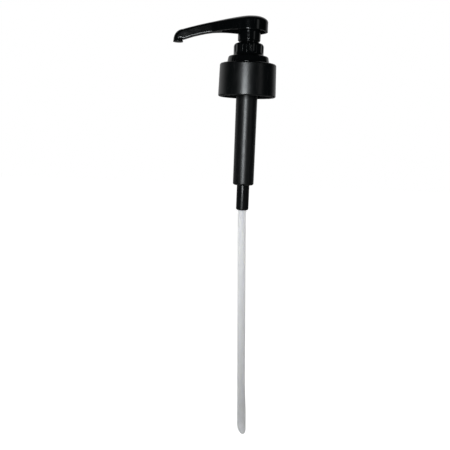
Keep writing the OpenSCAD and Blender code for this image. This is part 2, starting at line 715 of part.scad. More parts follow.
module ball_cage() {
    base_r = adaptor_shoulder_d / 2;
    color(natural) difference() {
        turned([
            [cage_bore_r, adaptor_top_z], [base_r, adaptor_top_z], [base_r, ledge_z],
            [cage_dome_r, ledge_z], [cage_dome_r, cage_roof_z + cage_roof_t], [0, cage_roof_z + cage_roof_t],
            [0, cage_roof_z], [cage_bore_r, cage_roof_z]],
            [[4, cage_wall_t / 2]]);
        for (i = [0 : cage_slots - 1])
            rotate(360 * i / cage_slots) translate([0, -cage_slot_w / 2, ledge_z + free_gap])
                cube([base_r, cage_slot_w, cage_roof_z - ledge_z - free_gap]);
    }
}

module inlet_ball() {
    color(steel) translate([0, 0, inlet_ball_z]) sphere(d = inlet_ball_d);
}

module tube_adaptor() {
    r = adaptor_d / 2;
    grip_r = tube_d / 2 + press_gap;
    stop_z = adaptor_end_z + tube_grip;
    color(black) turned([
        [grip_r, adaptor_end_z], [r, adaptor_end_z], [r, floor_z], [adaptor_shoulder_d / 2, floor_z],
        [adaptor_shoulder_d / 2, adaptor_top_z], [inlet_mouth_r, adaptor_top_z],
        [inlet_hole_d / 2, inlet_apex_z + inlet_hole_d / 2], [inlet_hole_d / 2, stop_z], [grip_r, stop_z]],
        [[1, adaptor_end_r]]);
}

// The tube's centre line lies in the XZ plane: straight in the adaptor, then a set bend away from
// the spout, then straight to the end. Each stop is [x, z, angle from straight down].
tube_arc = PI * tube_bend_r * tube_bend / 180;
tube_end_run = tube_free - tube_lead - tube_arc;
tube_bend_z = adaptor_end_z - tube_lead;
function tube_bend_stop(angle) =
    [tube_bend_r * (1 - cos(angle)), tube_bend_z - tube_bend_r * sin(angle), angle];
tube_stops = concat(
    [[0, adaptor_end_z + tube_grip - press_gap, 0]],
    [for (i = [0 : tube_bend_steps]) tube_bend_stop(tube_bend * i / tube_bend_steps)],
    [tube_bend_stop(tube_bend) + [tube_end_run * sin(tube_bend), -tube_end_run * cos(tube_bend), 0]]);

// A ring round a stop; lean tips its plane, lowest on the side that the slash cut's point faces
function tube_ring(stop, r, lean) = [for (j = [0 : tube_sides - 1])
    let (t = 360 * j / tube_sides, a = r * cos(t), b = r * sin(t),
         drop = r * tan(lean) * cos(t - tube_cut_turn))
    [stop[0] + a * cos(stop[2]) + drop * sin(stop[2]), b,
     stop[1] + a * sin(stop[2]) - drop * cos(stop[2])]];

module dip_tube() {
    last = len(tube_stops) - 1;
    outer = [for (i = [last : -1 : 0]) tube_ring(tube_stops[i], tube_d / 2, i == last ? tube_cut : 0)];
    inner = [for (i = [0 : last]) tube_ring(tube_stops[i], tube_bore_d / 2, i == last ? tube_cut : 0)];
    color(clear_grey) closed_loop_loft(concat(outer, inner));
}

actuator_head();
nozzle_tip();
stem();
outlet_ball();
piston();
piston_retainer();
return_spring();
lock_collar();
stem_wiper();
stem_guide();
closure();
sealing_gasket();
pump_cylinder();
ball_cage();
inlet_ball();
tube_adaptor();
dip_tube();
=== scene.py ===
"""Looks of a lock-down syrup pump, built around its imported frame.

Sizes in the classes are millimetres and degrees, in the frame's own axes: +Z is up along the pump's
axis and the spout points along -X. Surface.piece() writes them to a mesh in metres.
"""

import logging
from collections.abc import Sequence
from dataclasses import dataclass
from enum import Enum
from math import atan, cos, pi, radians, sin, tan

import bmesh
import bpy
import numpy as np
from mathutils import Matrix, Vector


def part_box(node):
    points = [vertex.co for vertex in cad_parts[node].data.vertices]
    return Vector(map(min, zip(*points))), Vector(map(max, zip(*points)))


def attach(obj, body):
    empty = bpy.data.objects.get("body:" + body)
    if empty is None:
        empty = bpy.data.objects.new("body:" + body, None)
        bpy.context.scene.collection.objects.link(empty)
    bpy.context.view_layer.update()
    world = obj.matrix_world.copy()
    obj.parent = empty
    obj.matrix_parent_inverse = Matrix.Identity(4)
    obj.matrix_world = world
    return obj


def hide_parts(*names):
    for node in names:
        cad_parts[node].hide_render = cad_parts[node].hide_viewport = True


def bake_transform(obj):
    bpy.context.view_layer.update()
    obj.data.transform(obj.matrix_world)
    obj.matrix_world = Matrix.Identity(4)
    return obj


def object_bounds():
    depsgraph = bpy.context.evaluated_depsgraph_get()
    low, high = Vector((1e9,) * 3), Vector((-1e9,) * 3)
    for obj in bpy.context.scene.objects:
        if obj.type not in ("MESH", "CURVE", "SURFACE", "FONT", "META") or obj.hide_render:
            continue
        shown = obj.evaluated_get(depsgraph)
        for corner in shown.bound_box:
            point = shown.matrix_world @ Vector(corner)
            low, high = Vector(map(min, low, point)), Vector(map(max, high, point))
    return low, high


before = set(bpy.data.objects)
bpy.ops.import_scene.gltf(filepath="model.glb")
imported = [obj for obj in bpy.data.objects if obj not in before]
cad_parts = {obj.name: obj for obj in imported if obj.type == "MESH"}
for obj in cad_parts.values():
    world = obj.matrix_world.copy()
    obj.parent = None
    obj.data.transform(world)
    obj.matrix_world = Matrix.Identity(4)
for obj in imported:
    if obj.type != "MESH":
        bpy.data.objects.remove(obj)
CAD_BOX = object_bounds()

MM = 0.001  # metres in a millimetre
WELD_MM = 0.0005  # points closer than this become one
SUPPORT_MM = 0.12  # distance of a support point from the end of a rounding
STEP_MM = 6.0  # longest side of a turned outline
SHARP_DEG = 35.0  # an edge that turns by more is shaded as sharp
ARC_STEPS = 10  # points on a rounding of a turned outline
TOP_STEPS, FOOT_STEPS = 22, 8  # points on the upper and lower corners of a lofted section
SIDE_SHARES = np.array([0.04, 0.5, 0.96])  # places of points on a section's straight side
SHARP, FINE, SOFT, EASED = 0.0, 0.2, 0.3, 0.4  # usual roundings of moulded corners
LOCK_PITCH, LOCK_CREST_W = 2.4, 0.5  # of the thread that locks the head to its collar
LOG = logging.getLogger("syrup_pump")

Corner = tuple[float, float, float]  # radius, height and rounding
Colour = tuple[float, float, float]  # linear red, green and blue
Axes = tuple[np.ndarray, np.ndarray]  # half axes, across and up
Socket = bpy.types.NodeSocket


class Body(Enum):
    """The moving bodies that pieces ride on."""

    HOUSING = "housing"
    PLUNGER = "plunger"
    HEAD = "head"
    CLOSURE = "closure"


class Slot(Enum):
    """The record's material slots that pieces take their finish from."""

    HEAD = "head_plastic"
    CLOSURE = "closure_plastic"
    BARREL = "barrel_plastic"
    ADAPTOR = "adaptor_plastic"
    TUBE = "tube_plastic"
    NATURAL = "natural_plastic"
    SEAL = "soft_seal"
    SPRING = "spring_steel"
    BALL = "ball_steel"


class Effect(Enum):
    """Shader node groups that several finishes share."""

    GRAIN = "moulded_grain"
    HANDLING = "handling_marks"


class Cut(Enum):
    """How one closed mesh changes another."""

    ADD = "UNION"
    REMOVE = "DIFFERENCE"


def node_span(node: str) -> tuple[np.ndarray, np.ndarray]:
    """The lowest and highest corners of a frame node, in millimetres."""
    low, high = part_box(node)
    return np.array(low) / MM, np.array(high) / MM


def smooth(t: np.ndarray) -> np.ndarray:
    """Eases 0 to 1 with level ends: 3t^2 - 2t^3, held outside that span."""
    t = np.clip(t, 0.0, 1.0)
    return t * t * (3 - 2 * t)


def mix(a: np.ndarray, b: np.ndarray, t: np.ndarray) -> np.ndarray:
    """Runs straight from a at t = 0 to b at t = 1."""
    return a + (b - a) * t


def soft_max(a: np.ndarray, b: np.ndarray, k: np.ndarray) -> np.ndarray:
    """The larger of two values, with the corner between them rounded by k."""
    return (a + b + np.sqrt((a - b) ** 2 + k * k)) / 2


def soft_min(a: np.ndarray, b: np.ndarray, k: np.ndarray) -> np.ndarray:
    """The smaller of two values, with the corner between them rounded by k."""
    return (a + b - np.sqrt((a - b) ** 2 + k * k)) / 2


def full_turn(sides: int) -> np.ndarray:
    """Even angles round one turn, from 0 and without its end."""
    return np.arange(sides) * 2 * pi / sides


def gridded(x: np.ndarray, y: np.ndarray, z: np.ndarray) -> np.ndarray:
    """Spreads coordinates over the grid that they share and stacks them into points."""
    return np.stack(np.broadcast_arrays(x, y, z), axis=-1)


def capped(grid: np.ndarray) -> np.ndarray:
    """Closes the first and last rows of a grid, each by a row drawn together to its middle."""
    first, last = (np.full_like(r, r.mean(axis=1, keepdims=True)) for r in (grid[:1], grid[-1:]))
    return np.concatenate([first, grid, last])


def rounded_outline(corners: Sequence[Corner]) -> np.ndarray:
    """Replaces each corner of a closed outline by an arc that is tangent to both its sides.

    The arc's centre lies on the corner's bisector, radius / sin(half angle) away. A support point
    stands just outside each end of an arc, so that flat stretches keep their own shading.

    Args:
        corners: Corners of the outline, in order.

    Returns:
        Radius and height of each point, as an array of two columns.
    """
    points = np.array([c[:2] for c in corners], float)
    runs = []
    for before, here, after, (_, _, radius) in zip(
        np.roll(points, 1, 0), points, np.roll(points, -1, 0), corners
    ):
        if radius == SHARP:
            runs.append(here[None, :])
            continue
        u = (before - here) / np.linalg.norm(before - here)
        v = (after - here) / np.linalg.norm(after - here)
        half = np.arccos(np.clip(u @ v, -1, 1)) / 2
        bisector = (u + v) / np.linalg.norm(u + v)
        centre = here + bisector * radius / sin(half)
        reach = radius / tan(half)
        first = (here + u * reach - centre) / radius
        turn = np.linspace(0, pi - 2 * half, ARC_STEPS)[:, None]
        arc = centre + radius * (np.cos(turn) * first - np.sin(turn) * u)
        outside = reach + SUPPORT_MM
        runs += [(here + u * outside)[None, :], arc, (here + v * outside)[None, :]]
    return np.concatenate(runs)


def densified(outline: np.ndarray, step: float) -> np.ndarray:
    """Adds points along the long sides of a closed outline.

    Args:
        outline: Points of the outline, as an array of two columns.
        step: Longest distance that is left between two points.

    Returns:
        The outline with its added points.
    """
    after = np.roll(outline, -1, 0)
    counts = np.maximum(1, np.ceil(np.linalg.norm(after - outline, axis=1) / step)).astype(int)
    start = np.repeat(np.arange(len(outline)), counts)
    share = np.concatenate([np.arange(n) / n for n in counts])
    return mix(outline[start], after[start], share[:, None])


def revolved(outline: np.ndarray, sides: int) -> np.ndarray:
    """Turns an outline about the Z axis, row by row: x = r cos a, y = r sin a, z = z."""
    angle, r = full_turn(sides), outline[:, :1]
    return gridded(r * np.cos(angle), r * np.sin(angle), outline[:, 1:])


@dataclass(frozen=True)
class Surface:
    """Quads over grids of points.

    Attributes:
        points: Points in millimetres, three columns.
        quads: Four point numbers for each face.
    """

    points: np.ndarray
    quads: np.ndarray

    @classmethod
    def over(
        cls, grid: np.ndarray, ring_rows: bool = False, ring_columns: bool = True
    ) -> "Surface":
        """Spans a grid with quads.

        Args:
            grid: Rows by columns of points.
            ring_rows: Whether the last row joins the first.
            ring_columns: Whether the last column joins the first.

        Returns:
            The spanned surface.
        """
        rows, columns = grid.shape[:2]
        i = np.arange(rows if ring_rows else rows - 1)[:, None]
        j = np.arange(columns if ring_columns else columns - 1)[None, :]
        here, below = i * columns, (i + 1) % rows * columns
        beside = (j + 1) % columns
        corners = [here + j, here + beside, below + beside, below + j]
        quads = np.stack(np.broadcast_arrays(*corners), axis=-1).reshape(-1, 4)
        return cls(grid.reshape(-1, 3), quads)

    @classmethod
    def rod(cls, x: np.ndarray, y: np.ndarray, z: np.ndarray) -> "Surface":
        """Spans rings of points, one in each row, and closes both ends."""
        return cls.over(capped(gridded(x, y, z)))

    def piece(self, name: str, sharp: float = SHARP_DEG) -> bpy.types.Object:
        """Writes the surface to a mesh object at the origin, welded and with its faces outwards.

        Args:
            name: Name of the object.
            sharp: Angle in degrees above which an edge is shaded as sharp.

        Returns:
            The new object.
        """
        mesh = bpy.data.meshes.new(name)
        mesh.from_pydata(self.points * MM, [], self.quads.tolist())
        obj = bpy.data.objects.new(name, mesh)
        bpy.context.scene.collection.objects.link(obj)
        settle(obj, sharp)
        return obj


def settle(obj: bpy.types.Object, sharp: float) -> None:
    """Welds a mesh, turns its faces outwards and shades it smooth between its sharp edges.

    Args:
        obj: Mesh object to settle.
        sharp: Angle in degrees above which an edge is shaded as sharp.
    """
    work = bmesh.new()
    work.from_mesh(obj.data)
    bmesh.ops.remove_doubles(work, verts=work.verts, dist=WELD_MM * MM)
    bmesh.ops.dissolve_degenerate(work, edges=work.edges, dist=WELD_MM * MM)
    bmesh.ops.recalc_face_normals(work, faces=work.faces)
    work.to_mesh(obj.data)
    work.free()
    obj.data.shade_smooth()
    obj.data.set_sharp_from_angle(angle=radians(sharp))


def carve(base: bpy.types.Object, tool: bpy.types.Object, cut: Cut) -> None:
    """Joins a closed tool to a closed base, or cuts it away, and deletes the tool.

    Args:
        base: Object that keeps the result.
        tool: Object that is used up.
        cut: Whether the tool is added or removed.
    """
    modifier = base.modifiers.new("cut", "BOOLEAN")
    modifier.object = tool
    modifier.operation = cut.value
    modifier.solver = "EXACT"
    bpy.context.view_layer.update()
    made = base.evaluated_get(bpy.context.evaluated_depsgraph_get())
    mesh = bpy.data.meshes.new_from_object(made)
    base.modifiers.clear()
    base.data = mesh
    bpy.data.objects.remove(tool)
    settle(base, SHARP_DEG)


def turned(name: str, corners: Sequence[Corner], sides: int = 160) -> bpy.types.Object:
    """Turns a closed outline into a ring-shaped piece with that many points round the axis."""
    grid = revolved(densified(rounded_outline(corners), STEP_MM), sides)
    return Surface.over(grid, ring_rows=True).piece(name)


@dataclass(frozen=True)
class HelixRidge:
    """A screw thread's ridge on a round wall, faded in and out at its ends.

    Attributes:
        wall_r: Radius of the wall.
        height: Height of the ridge, negative where it stands inwards.
        foot_w: Width of the ridge at the wall.
        crest_w: Width of the ridge at its crest.
        pitch: Rise in one turn.
        turns: Number of turns.
        low_z: Height of the ridge's middle at its lower end.
        start: Angle of the lower end.
        sink: Depth of the ridge's root in the wall.
        fade: Share of a turn over which each end rises from the wall.
        steps: Sections in one turn.
    """

    wall_r: float
    height: float
    foot_w: float
    crest_w: float
    pitch: float
    turns: float
    low_z: float
    start: float = 0.0
    sink: float = 0.04
    fade: float = 0.12
    steps: int = 96

    def surface(self) -> Surface:
        """Carries a trapezoid along the helix z = low_z + pitch * a / (2 pi).

        Returns:
            The closed ridge.
        """
        turn = np.linspace(0, self.turns, int(self.turns * self.steps))[:, None]
        rise = smooth(turn / self.fade) * smooth((self.turns - turn) / self.fade)
        top = abs(self.height)
        radial = np.array([-self.sink, top, top, -self.sink])
        across = np.array([-self.foot_w, -self.crest_w, self.crest_w, self.foot_w]) / 2
        faded = np.where(radial > 0, radial * rise - self.sink * (1 - rise), radial)
        r = self.wall_r + np.sign(self.height) * faded
        angle = radians(self.start) + 2 * pi * turn
        z = self.low_z + self.pitch * turn + across
        return Surface.rod(r * np.cos(angle), r * np.sin(angle), z)


class Shader:
    """A short way to add and link the nodes of one tree."""

    def __init__(self, tree: bpy.types.NodeTree) -> None:
        """Empties the tree of a material, world or group and starts on it."""
        self.tree = tree
        tree.nodes.clear()

    @classmethod
    def material(cls, name: str) -> tuple[bpy.types.Material, "Shader"]:
        """Makes a material with nodes.

        Args:
            name: Name of the material.

        Returns:
            The material and the shader of its empty tree.
        """
        made = bpy.data.materials.new(name)
        made.use_nodes = True
        return made, cls(made.node_tree)

    def add(self, kind: str, inputs: dict | None = None, **settings: object) -> bpy.types.Node:
        """Adds a node.

        Args:
            kind: Node type, such as "ShaderNodeTexNoise".
            inputs: Values, or sockets to link, by the input's name or number.
            settings: Values of the node's own properties.

        Returns:
            The new node.
        """
        node = self.tree.nodes.new(kind)
        for key, value in settings.items():
            setattr(node, key, value)
        for key, value in (inputs or {}).items():
            if isinstance(value, Socket):
                self.tree.links.new(value, node.inputs[key])
            else:
                node.inputs[key].default_value = value
        return node

    def math(self, operation: str, a: Socket | float, b: Socket | float) -> Socket:
        """Adds a sum, product or other operation on two values and returns its output."""
        return self.add("ShaderNodeMath", {0: a, 1: b}, operation=operation).outputs[0]

    def noise(self, place: Socket, scale: Socket | float, detail: float) -> Socket:
        """Adds a noise over those coordinates and returns its value."""
        values = {"Vector": place, "Scale": scale, "Detail": detail}
        return self.add("ShaderNodeTexNoise", values).outputs[0]

    def remap(
        self, value: Socket, span: tuple[float, float], to: tuple[float, float] = (0.0, 1.0)
    ) -> Socket:
        """Maps a span of values smoothly to another span, held outside it.

        Args:
            value: Socket that is mapped.
            span: Values that become the two ends of the result.
            to: Those two ends.

        Returns:
            The mapped socket.
        """
        ends = {"From Min": span[0], "From Max": span[1], "To Min": to[0], "To Max": to[1]}
        values = {"Value": value, **ends}
        return self.add("ShaderNodeMapRange", values, interpolation_type="SMOOTHSTEP").outputs[0]

    def tint(self, share: Socket, clean: Colour, worn: Colour) -> Socket:
        """Mixes a share of the worn colour into the clean one and returns the result."""
        values = {"Factor": share, "A": (*clean, 1.0), "B": (*worn, 1.0)}
        return self.add("ShaderNodeMix", values, data_type="RGBA").outputs["Result"]

    def seen(self) -> Socket:
        """Gives 1 to the camera's rays, also through a clear wall, and 0 to all others."""
        path = self.add("ShaderNodeLightPath").outputs
        return self.math("MAXIMUM", path["Is Camera Ray"], path["Is Transmission Ray"])

    def principled(self, values: dict) -> None:
        """Adds a Principled shader with those inputs and links it to the material's output."""
        look = self.add("ShaderNodeBsdfPrincipled", values)
        self.add("ShaderNodeOutputMaterial", {"Surface": look.outputs[0]})


class SharedEffects:
    """Builds each shared node group once.

    A scale is a number of repeats in a metre. A mark fades in over its span of a noise's values.
    """

    SINK_SCALE = 110.0
    SMUDGE_SCALE, SMUDGE_SPAN = 170.0, (0.45, 0.68)
    SCUFF_TURN, SCUFF_SCALE, SCUFF_SPAN = (0.3, 0.5, 0.2), (900.0, 900.0, 60.0), (0.64, 0.72)
    DUST_SCALE, DUST_SPAN = 420.0, (0.05, 0.12)

    def __init__(self) -> None:
        """Makes the groups."""
        self.trees = {Effect.GRAIN: self.grain(), Effect.HANDLING: self.handling()}

    @staticmethod
    def group(
        effect: Effect, inputs: dict[str, float], outputs: Sequence[str]
    ) -> bpy.types.NodeTree:
        """Makes an empty group with float sockets.

        Args:
            effect: Which effect the group holds.
            inputs: Names and default values of its inputs.
            outputs: Names of its outputs.

        Returns:
            The new node tree.
        """
        tree = bpy.data.node_groups.new(effect.value, "ShaderNodeTree")
        socket = tree.interface.new_socket
        for name, value in inputs.items():
            socket(name, in_out="INPUT", socket_type="NodeSocketFloat").default_value = value
        for name in outputs:
            socket(name, in_out="OUTPUT", socket_type="NodeSocketFloat")
        return tree

    def grain(self) -> bpy.types.NodeTree:
        """Height of a moulded surface: spark-eroded grain, and slow waves where the wall has sunk.

        Returns:
            A group with Scale, Grain and Sink as inputs and Height as output.
        """
        inputs = {"Scale": 4000.0, "Grain": 1.0, "Sink": 0.5}
        tree = self.group(Effect.GRAIN, inputs, ["Height"])
        shader = Shader(tree)
        given = shader.add("NodeGroupInput").outputs
        place = shader.add("ShaderNodeTexCoord").outputs["Object"]
        fine = shader.noise(place, given["Scale"], detail=3.0)
        slow = shader.noise(place, self.SINK_SCALE, detail=1.0)
        grain = shader.math("MULTIPLY", fine, given["Grain"])
        sink = shader.math("MULTIPLY", slow, given["Sink"])
        shader.add("NodeGroupOutput", {"Height": shader.math("ADD", grain, sink)})
        return tree

    def handling(self) -> bpy.types.NodeTree:
        """Marks of use: finger smudges, fine scuffs along the axis, and dust.

        Returns:
            A group with Base, Smudge and Scuff as inputs and Roughness, Scuffs and Dust as outputs.
        """
        inputs = {"Base": 0.3, "Smudge": 0.1, "Scuff": 0.1}
        tree = self.group(Effect.HANDLING, inputs, ["Roughness", "Scuffs", "Dust"])
        shader = Shader(tree)
        given = shader.add("NodeGroupInput").outputs
        place = shader.add("ShaderNodeTexCoord").outputs["Object"]
        smudge = shader.remap(shader.noise(place, self.SMUDGE_SCALE, detail=4.0), self.SMUDGE_SPAN)
        stretch = {"Vector": place, "Rotation": self.SCUFF_TURN, "Scale": self.SCUFF_SCALE}
        line = shader.add("ShaderNodeMapping", stretch).outputs[0]
        scuffs = shader.remap(shader.noise(line, 1.0, detail=2.0), self.SCUFF_SPAN)
        speck = shader.add("ShaderNodeTexVoronoi", {"Vector": place, "Scale": self.DUST_SCALE})
        dust = shader.remap(speck.outputs["Distance"], self.DUST_SPAN, to=(1.0, 0.0))
        rough = shader.math("MULTIPLY", smudge, given["Smudge"])
        rough = shader.math("ADD", rough, shader.math("MULTIPLY", scuffs, given["Scuff"]))
        rough = shader.math("ADD", rough, given["Base"])
        shader.add("NodeGroupOutput", {"Roughness": rough, "Scuffs": scuffs, "Dust": dust})
        return tree

    def place(self, shader: Shader, effect: Effect, inputs: dict) -> bpy.types.NodeOutputs:
        """Places a group in a material and returns its outputs."""
        return shader.add("ShaderNodeGroup", inputs, node_tree=self.trees[effect]).outputs

    def bumped(self, shader: Shader, inputs: dict[str, float]) -> Socket:
        """Places the grain in a material, as a height in millimetres.

        Args:
            shader: The material's nodes.
            inputs: Values of the grain's inputs.

        Returns:
            The normal of the grained surface.
        """
        height = self.place(shader, Effect.GRAIN, inputs)["Height"]
        values = {"Height": height, "Strength": 1.0, "Distance": MM}
        return shader.add("ShaderNodeBump", values).outputs[0]


@dataclass(frozen=True)
class Finish:
    """A moulded plastic or a steel, with its grain and its marks of use.

    Attributes:
        name: Name of the material.
        colour: Colour where it is clean.
        worn: Colour of dust and scuffs on it.
        roughness: Roughness between the marks.
        smudge: Roughness that a smudge adds.
        scuff: Roughness that a scuff adds.
        dusty: How far dust takes on the worn colour.
        scuffed: How far a scuff takes on the worn colour.
        grain_scale: Grains in a metre.
        grain: Height of the grain.
        sink: Height of the slow waves.
        metal: 1 for a steel.
        ior: Index of refraction.
        clear: Share of light that passes through.
        scatter: Share of light that scatters inside.
        scatter_mm: Depth of that scattering.
        scatter_reach: Part of that depth that red, green and blue light reach.
    """

    name: str
    colour: Colour
    worn: Colour
    roughness: float
    smudge: float = 0.08
    scuff: float = 0.08
    dusty: float = 1.0
    scuffed: float = 0.5
    grain_scale: float = 3600.0
    grain: float = 0.001
    sink: float = 0.02
    metal: float = 0.0
    ior: float = 1.49
    clear: float = 0.0
    scatter: float = 0.0
    scatter_mm: float = 1.0
    scatter_reach: Colour = (1.0, 1.0, 0.9)

    def material(self, effects: SharedEffects) -> bpy.types.Material:
        """Makes the material.

        Args:
            effects: The shared node groups.

        Returns:
            The new material.
        """
        made, shader = Shader.material(self.name)
        use = {"Base": self.roughness, "Smudge": self.smudge, "Scuff": self.scuff}
        marks = effects.place(shader, Effect.HANDLING, use)
        grain = {"Scale": self.grain_scale, "Grain": self.grain, "Sink": self.sink}
        dust = shader.math("MULTIPLY", marks["Dust"], self.dusty)
        scuffs = shader.math("MULTIPLY", marks["Scuffs"], self.scuffed)
        share = shader.math("MAXIMUM", dust, scuffs)
        shader.principled({
            "Base Color": shader.tint(share, self.colour, self.worn),
            "Roughness": marks["Roughness"],
            "Normal": effects.bumped(shader, grain),
            "Metallic": self.metal,
            "IOR": self.ior,
            "Transmission Weight": self.clear,
            "Subsurface Weight": self.scatter,
            "Subsurface Scale": self.scatter_mm * MM,
            "Subsurface Radius": self.scatter_reach,
        })
        return made


BLACK: Colour = (0.0014, 0.0018, 0.002)
BLACK_DUST: Colour = (0.008, 0.008, 0.0085)
BARREL_BLACK: Colour = (0.0015, 0.0018, 0.002)
STEEL: dict[str, float] = {
    "smudge": 0.1, "scuff": 0.15, "dusty": 0.0, "scuffed": 1.0,
    "grain_scale": 9000.0, "sink": 0.0, "metal": 1.0, "ior": 1.5,
}
FINISHES: dict[Slot, Finish] = {
    Slot.HEAD: Finish("head_black", BLACK, BLACK_DUST, 0.1, 0.03, 0.03),
    Slot.CLOSURE: Finish("closure_black", BLACK, BLACK_DUST, 0.28, 0.04, 0.04),
    Slot.BARREL: Finish("barrel_black", BARREL_BLACK, BLACK_DUST, 0.36, 0.04, 0.04, grain=0.003),
    Slot.ADAPTOR: Finish("adaptor_black", BLACK, BLACK_DUST, 0.2, 0.04, 0.04),
    Slot.TUBE: Finish(
        "tube_translucent", (0.85, 0.85, 0.845), (0.76, 0.76, 0.75), 0.45, 0.05, 0.05,
        clear=0.3, scatter=0.8, scatter_mm=3.0,
    ),
    Slot.NATURAL: Finish(
        "natural_plastic", (0.82, 0.82, 0.78), (0.72, 0.72, 0.68), 0.42,
        scatter=0.3, scatter_mm=1.5,
    ),
    Slot.SEAL: Finish("soft_seal", (0.76, 0.76, 0.73), (0.6, 0.6, 0.58), 0.6, grain=0.008),
    Slot.SPRING: Finish("spring_wire", (0.58, 0.58, 0.59), (0.406, 0.406, 0.413), 0.28, **STEEL),
    Slot.BALL: Finish("ball_polish", (0.66, 0.66, 0.67), (0.462, 0.462, 0.469), 0.08, **STEEL),
}


class Workshop:
    """Dresses pieces: material, body, slot and the frame nodes that they stand for."""

    def __init__(self) -> None:
        """Makes every finish once."""
        effects = SharedEffects()
        self.materials = {slot: finish.material(effects) for slot, finish in FINISHES.items()}

    def paint(self, obj: bpy.types.Object, slot: Slot) -> None:
        """Puts a slot's finish on an object, in place of what it had."""
        obj.data.materials.clear()
        obj.data.materials.append(self.materials[slot])

    def dress(
        self, obj: bpy.types.Object, slot: Slot, body: Body | None, *nodes: str
    ) -> bpy.types.Object:
        """Gives a new piece its finish and its place in the frame.

        Args:
            obj: The piece.
            slot: Material slot that it takes its finish from.
            body: Body that it rides on, or None where it is blended between bodies.
            nodes: Frame nodes that it stands for.

        Returns:
            The same piece.
        """
        self.paint(obj, slot)
        if body is not None:
            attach(obj, body.value)
        if nodes:
            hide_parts(*nodes)
        LOG.info("piece %s: %d faces, %s", obj.name, len(obj.data.polygons), slot.value)
        return obj

    def dress_node(self, node: str, slot: Slot) -> None:
        """Gives a frame node that keeps its own mesh a finish.

        Args:
            node: Name of the frame's node.
            slot: Material slot that it takes its finish from.
        """
        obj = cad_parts[node]
        self.paint(obj, slot)
        LOG.info("node %s keeps its mesh: %s", node, slot.value)


def rounded_section(
    w: np.ndarray, low: np.ndarray, high: np.ndarray, top: Axes, foot: Axes
) -> np.ndarray:
    """Closed sections with four elliptical corners, joined by straight sides.

    A corner's points are centre + (a cos t, c sin t) over a quarter turn from its start.

    Args:
        w: Half width of each section.
        low: Lower line of each section.
        high: Upper line of each section.
        top: Half axes of the upper corners.
        foot: Half axes of the lower corners.

    Returns:
        Sections by points by two columns, across and up.
    """
    corners = []
    for side, z, (a, c), start, steps in (
        (1, low + foot[1], foot, -90, FOOT_STEPS),
        (1, high - top[1], top, 0, TOP_STEPS),
        (-1, high - top[1], top, 90, TOP_STEPS),
        (-1, low + foot[1], foot, 180, FOOT_STEPS),
    ):
        t = radians(start) + np.linspace(0, pi / 2, steps)
        y = (side * (w - a))[:, None] + a[:, None] * np.cos(t)
        corners.append(np.stack([y, z[:, None] + c[:, None] * np.sin(t)], axis=-1))
    runs = []
    for here, there in zip(corners, corners[1:] + corners[:1]):
        runs += [here, mix(here[:, -1:], there[:, :1], SIDE_SHARES[None, :, None])]
    return np.concatenate(runs, axis=1)


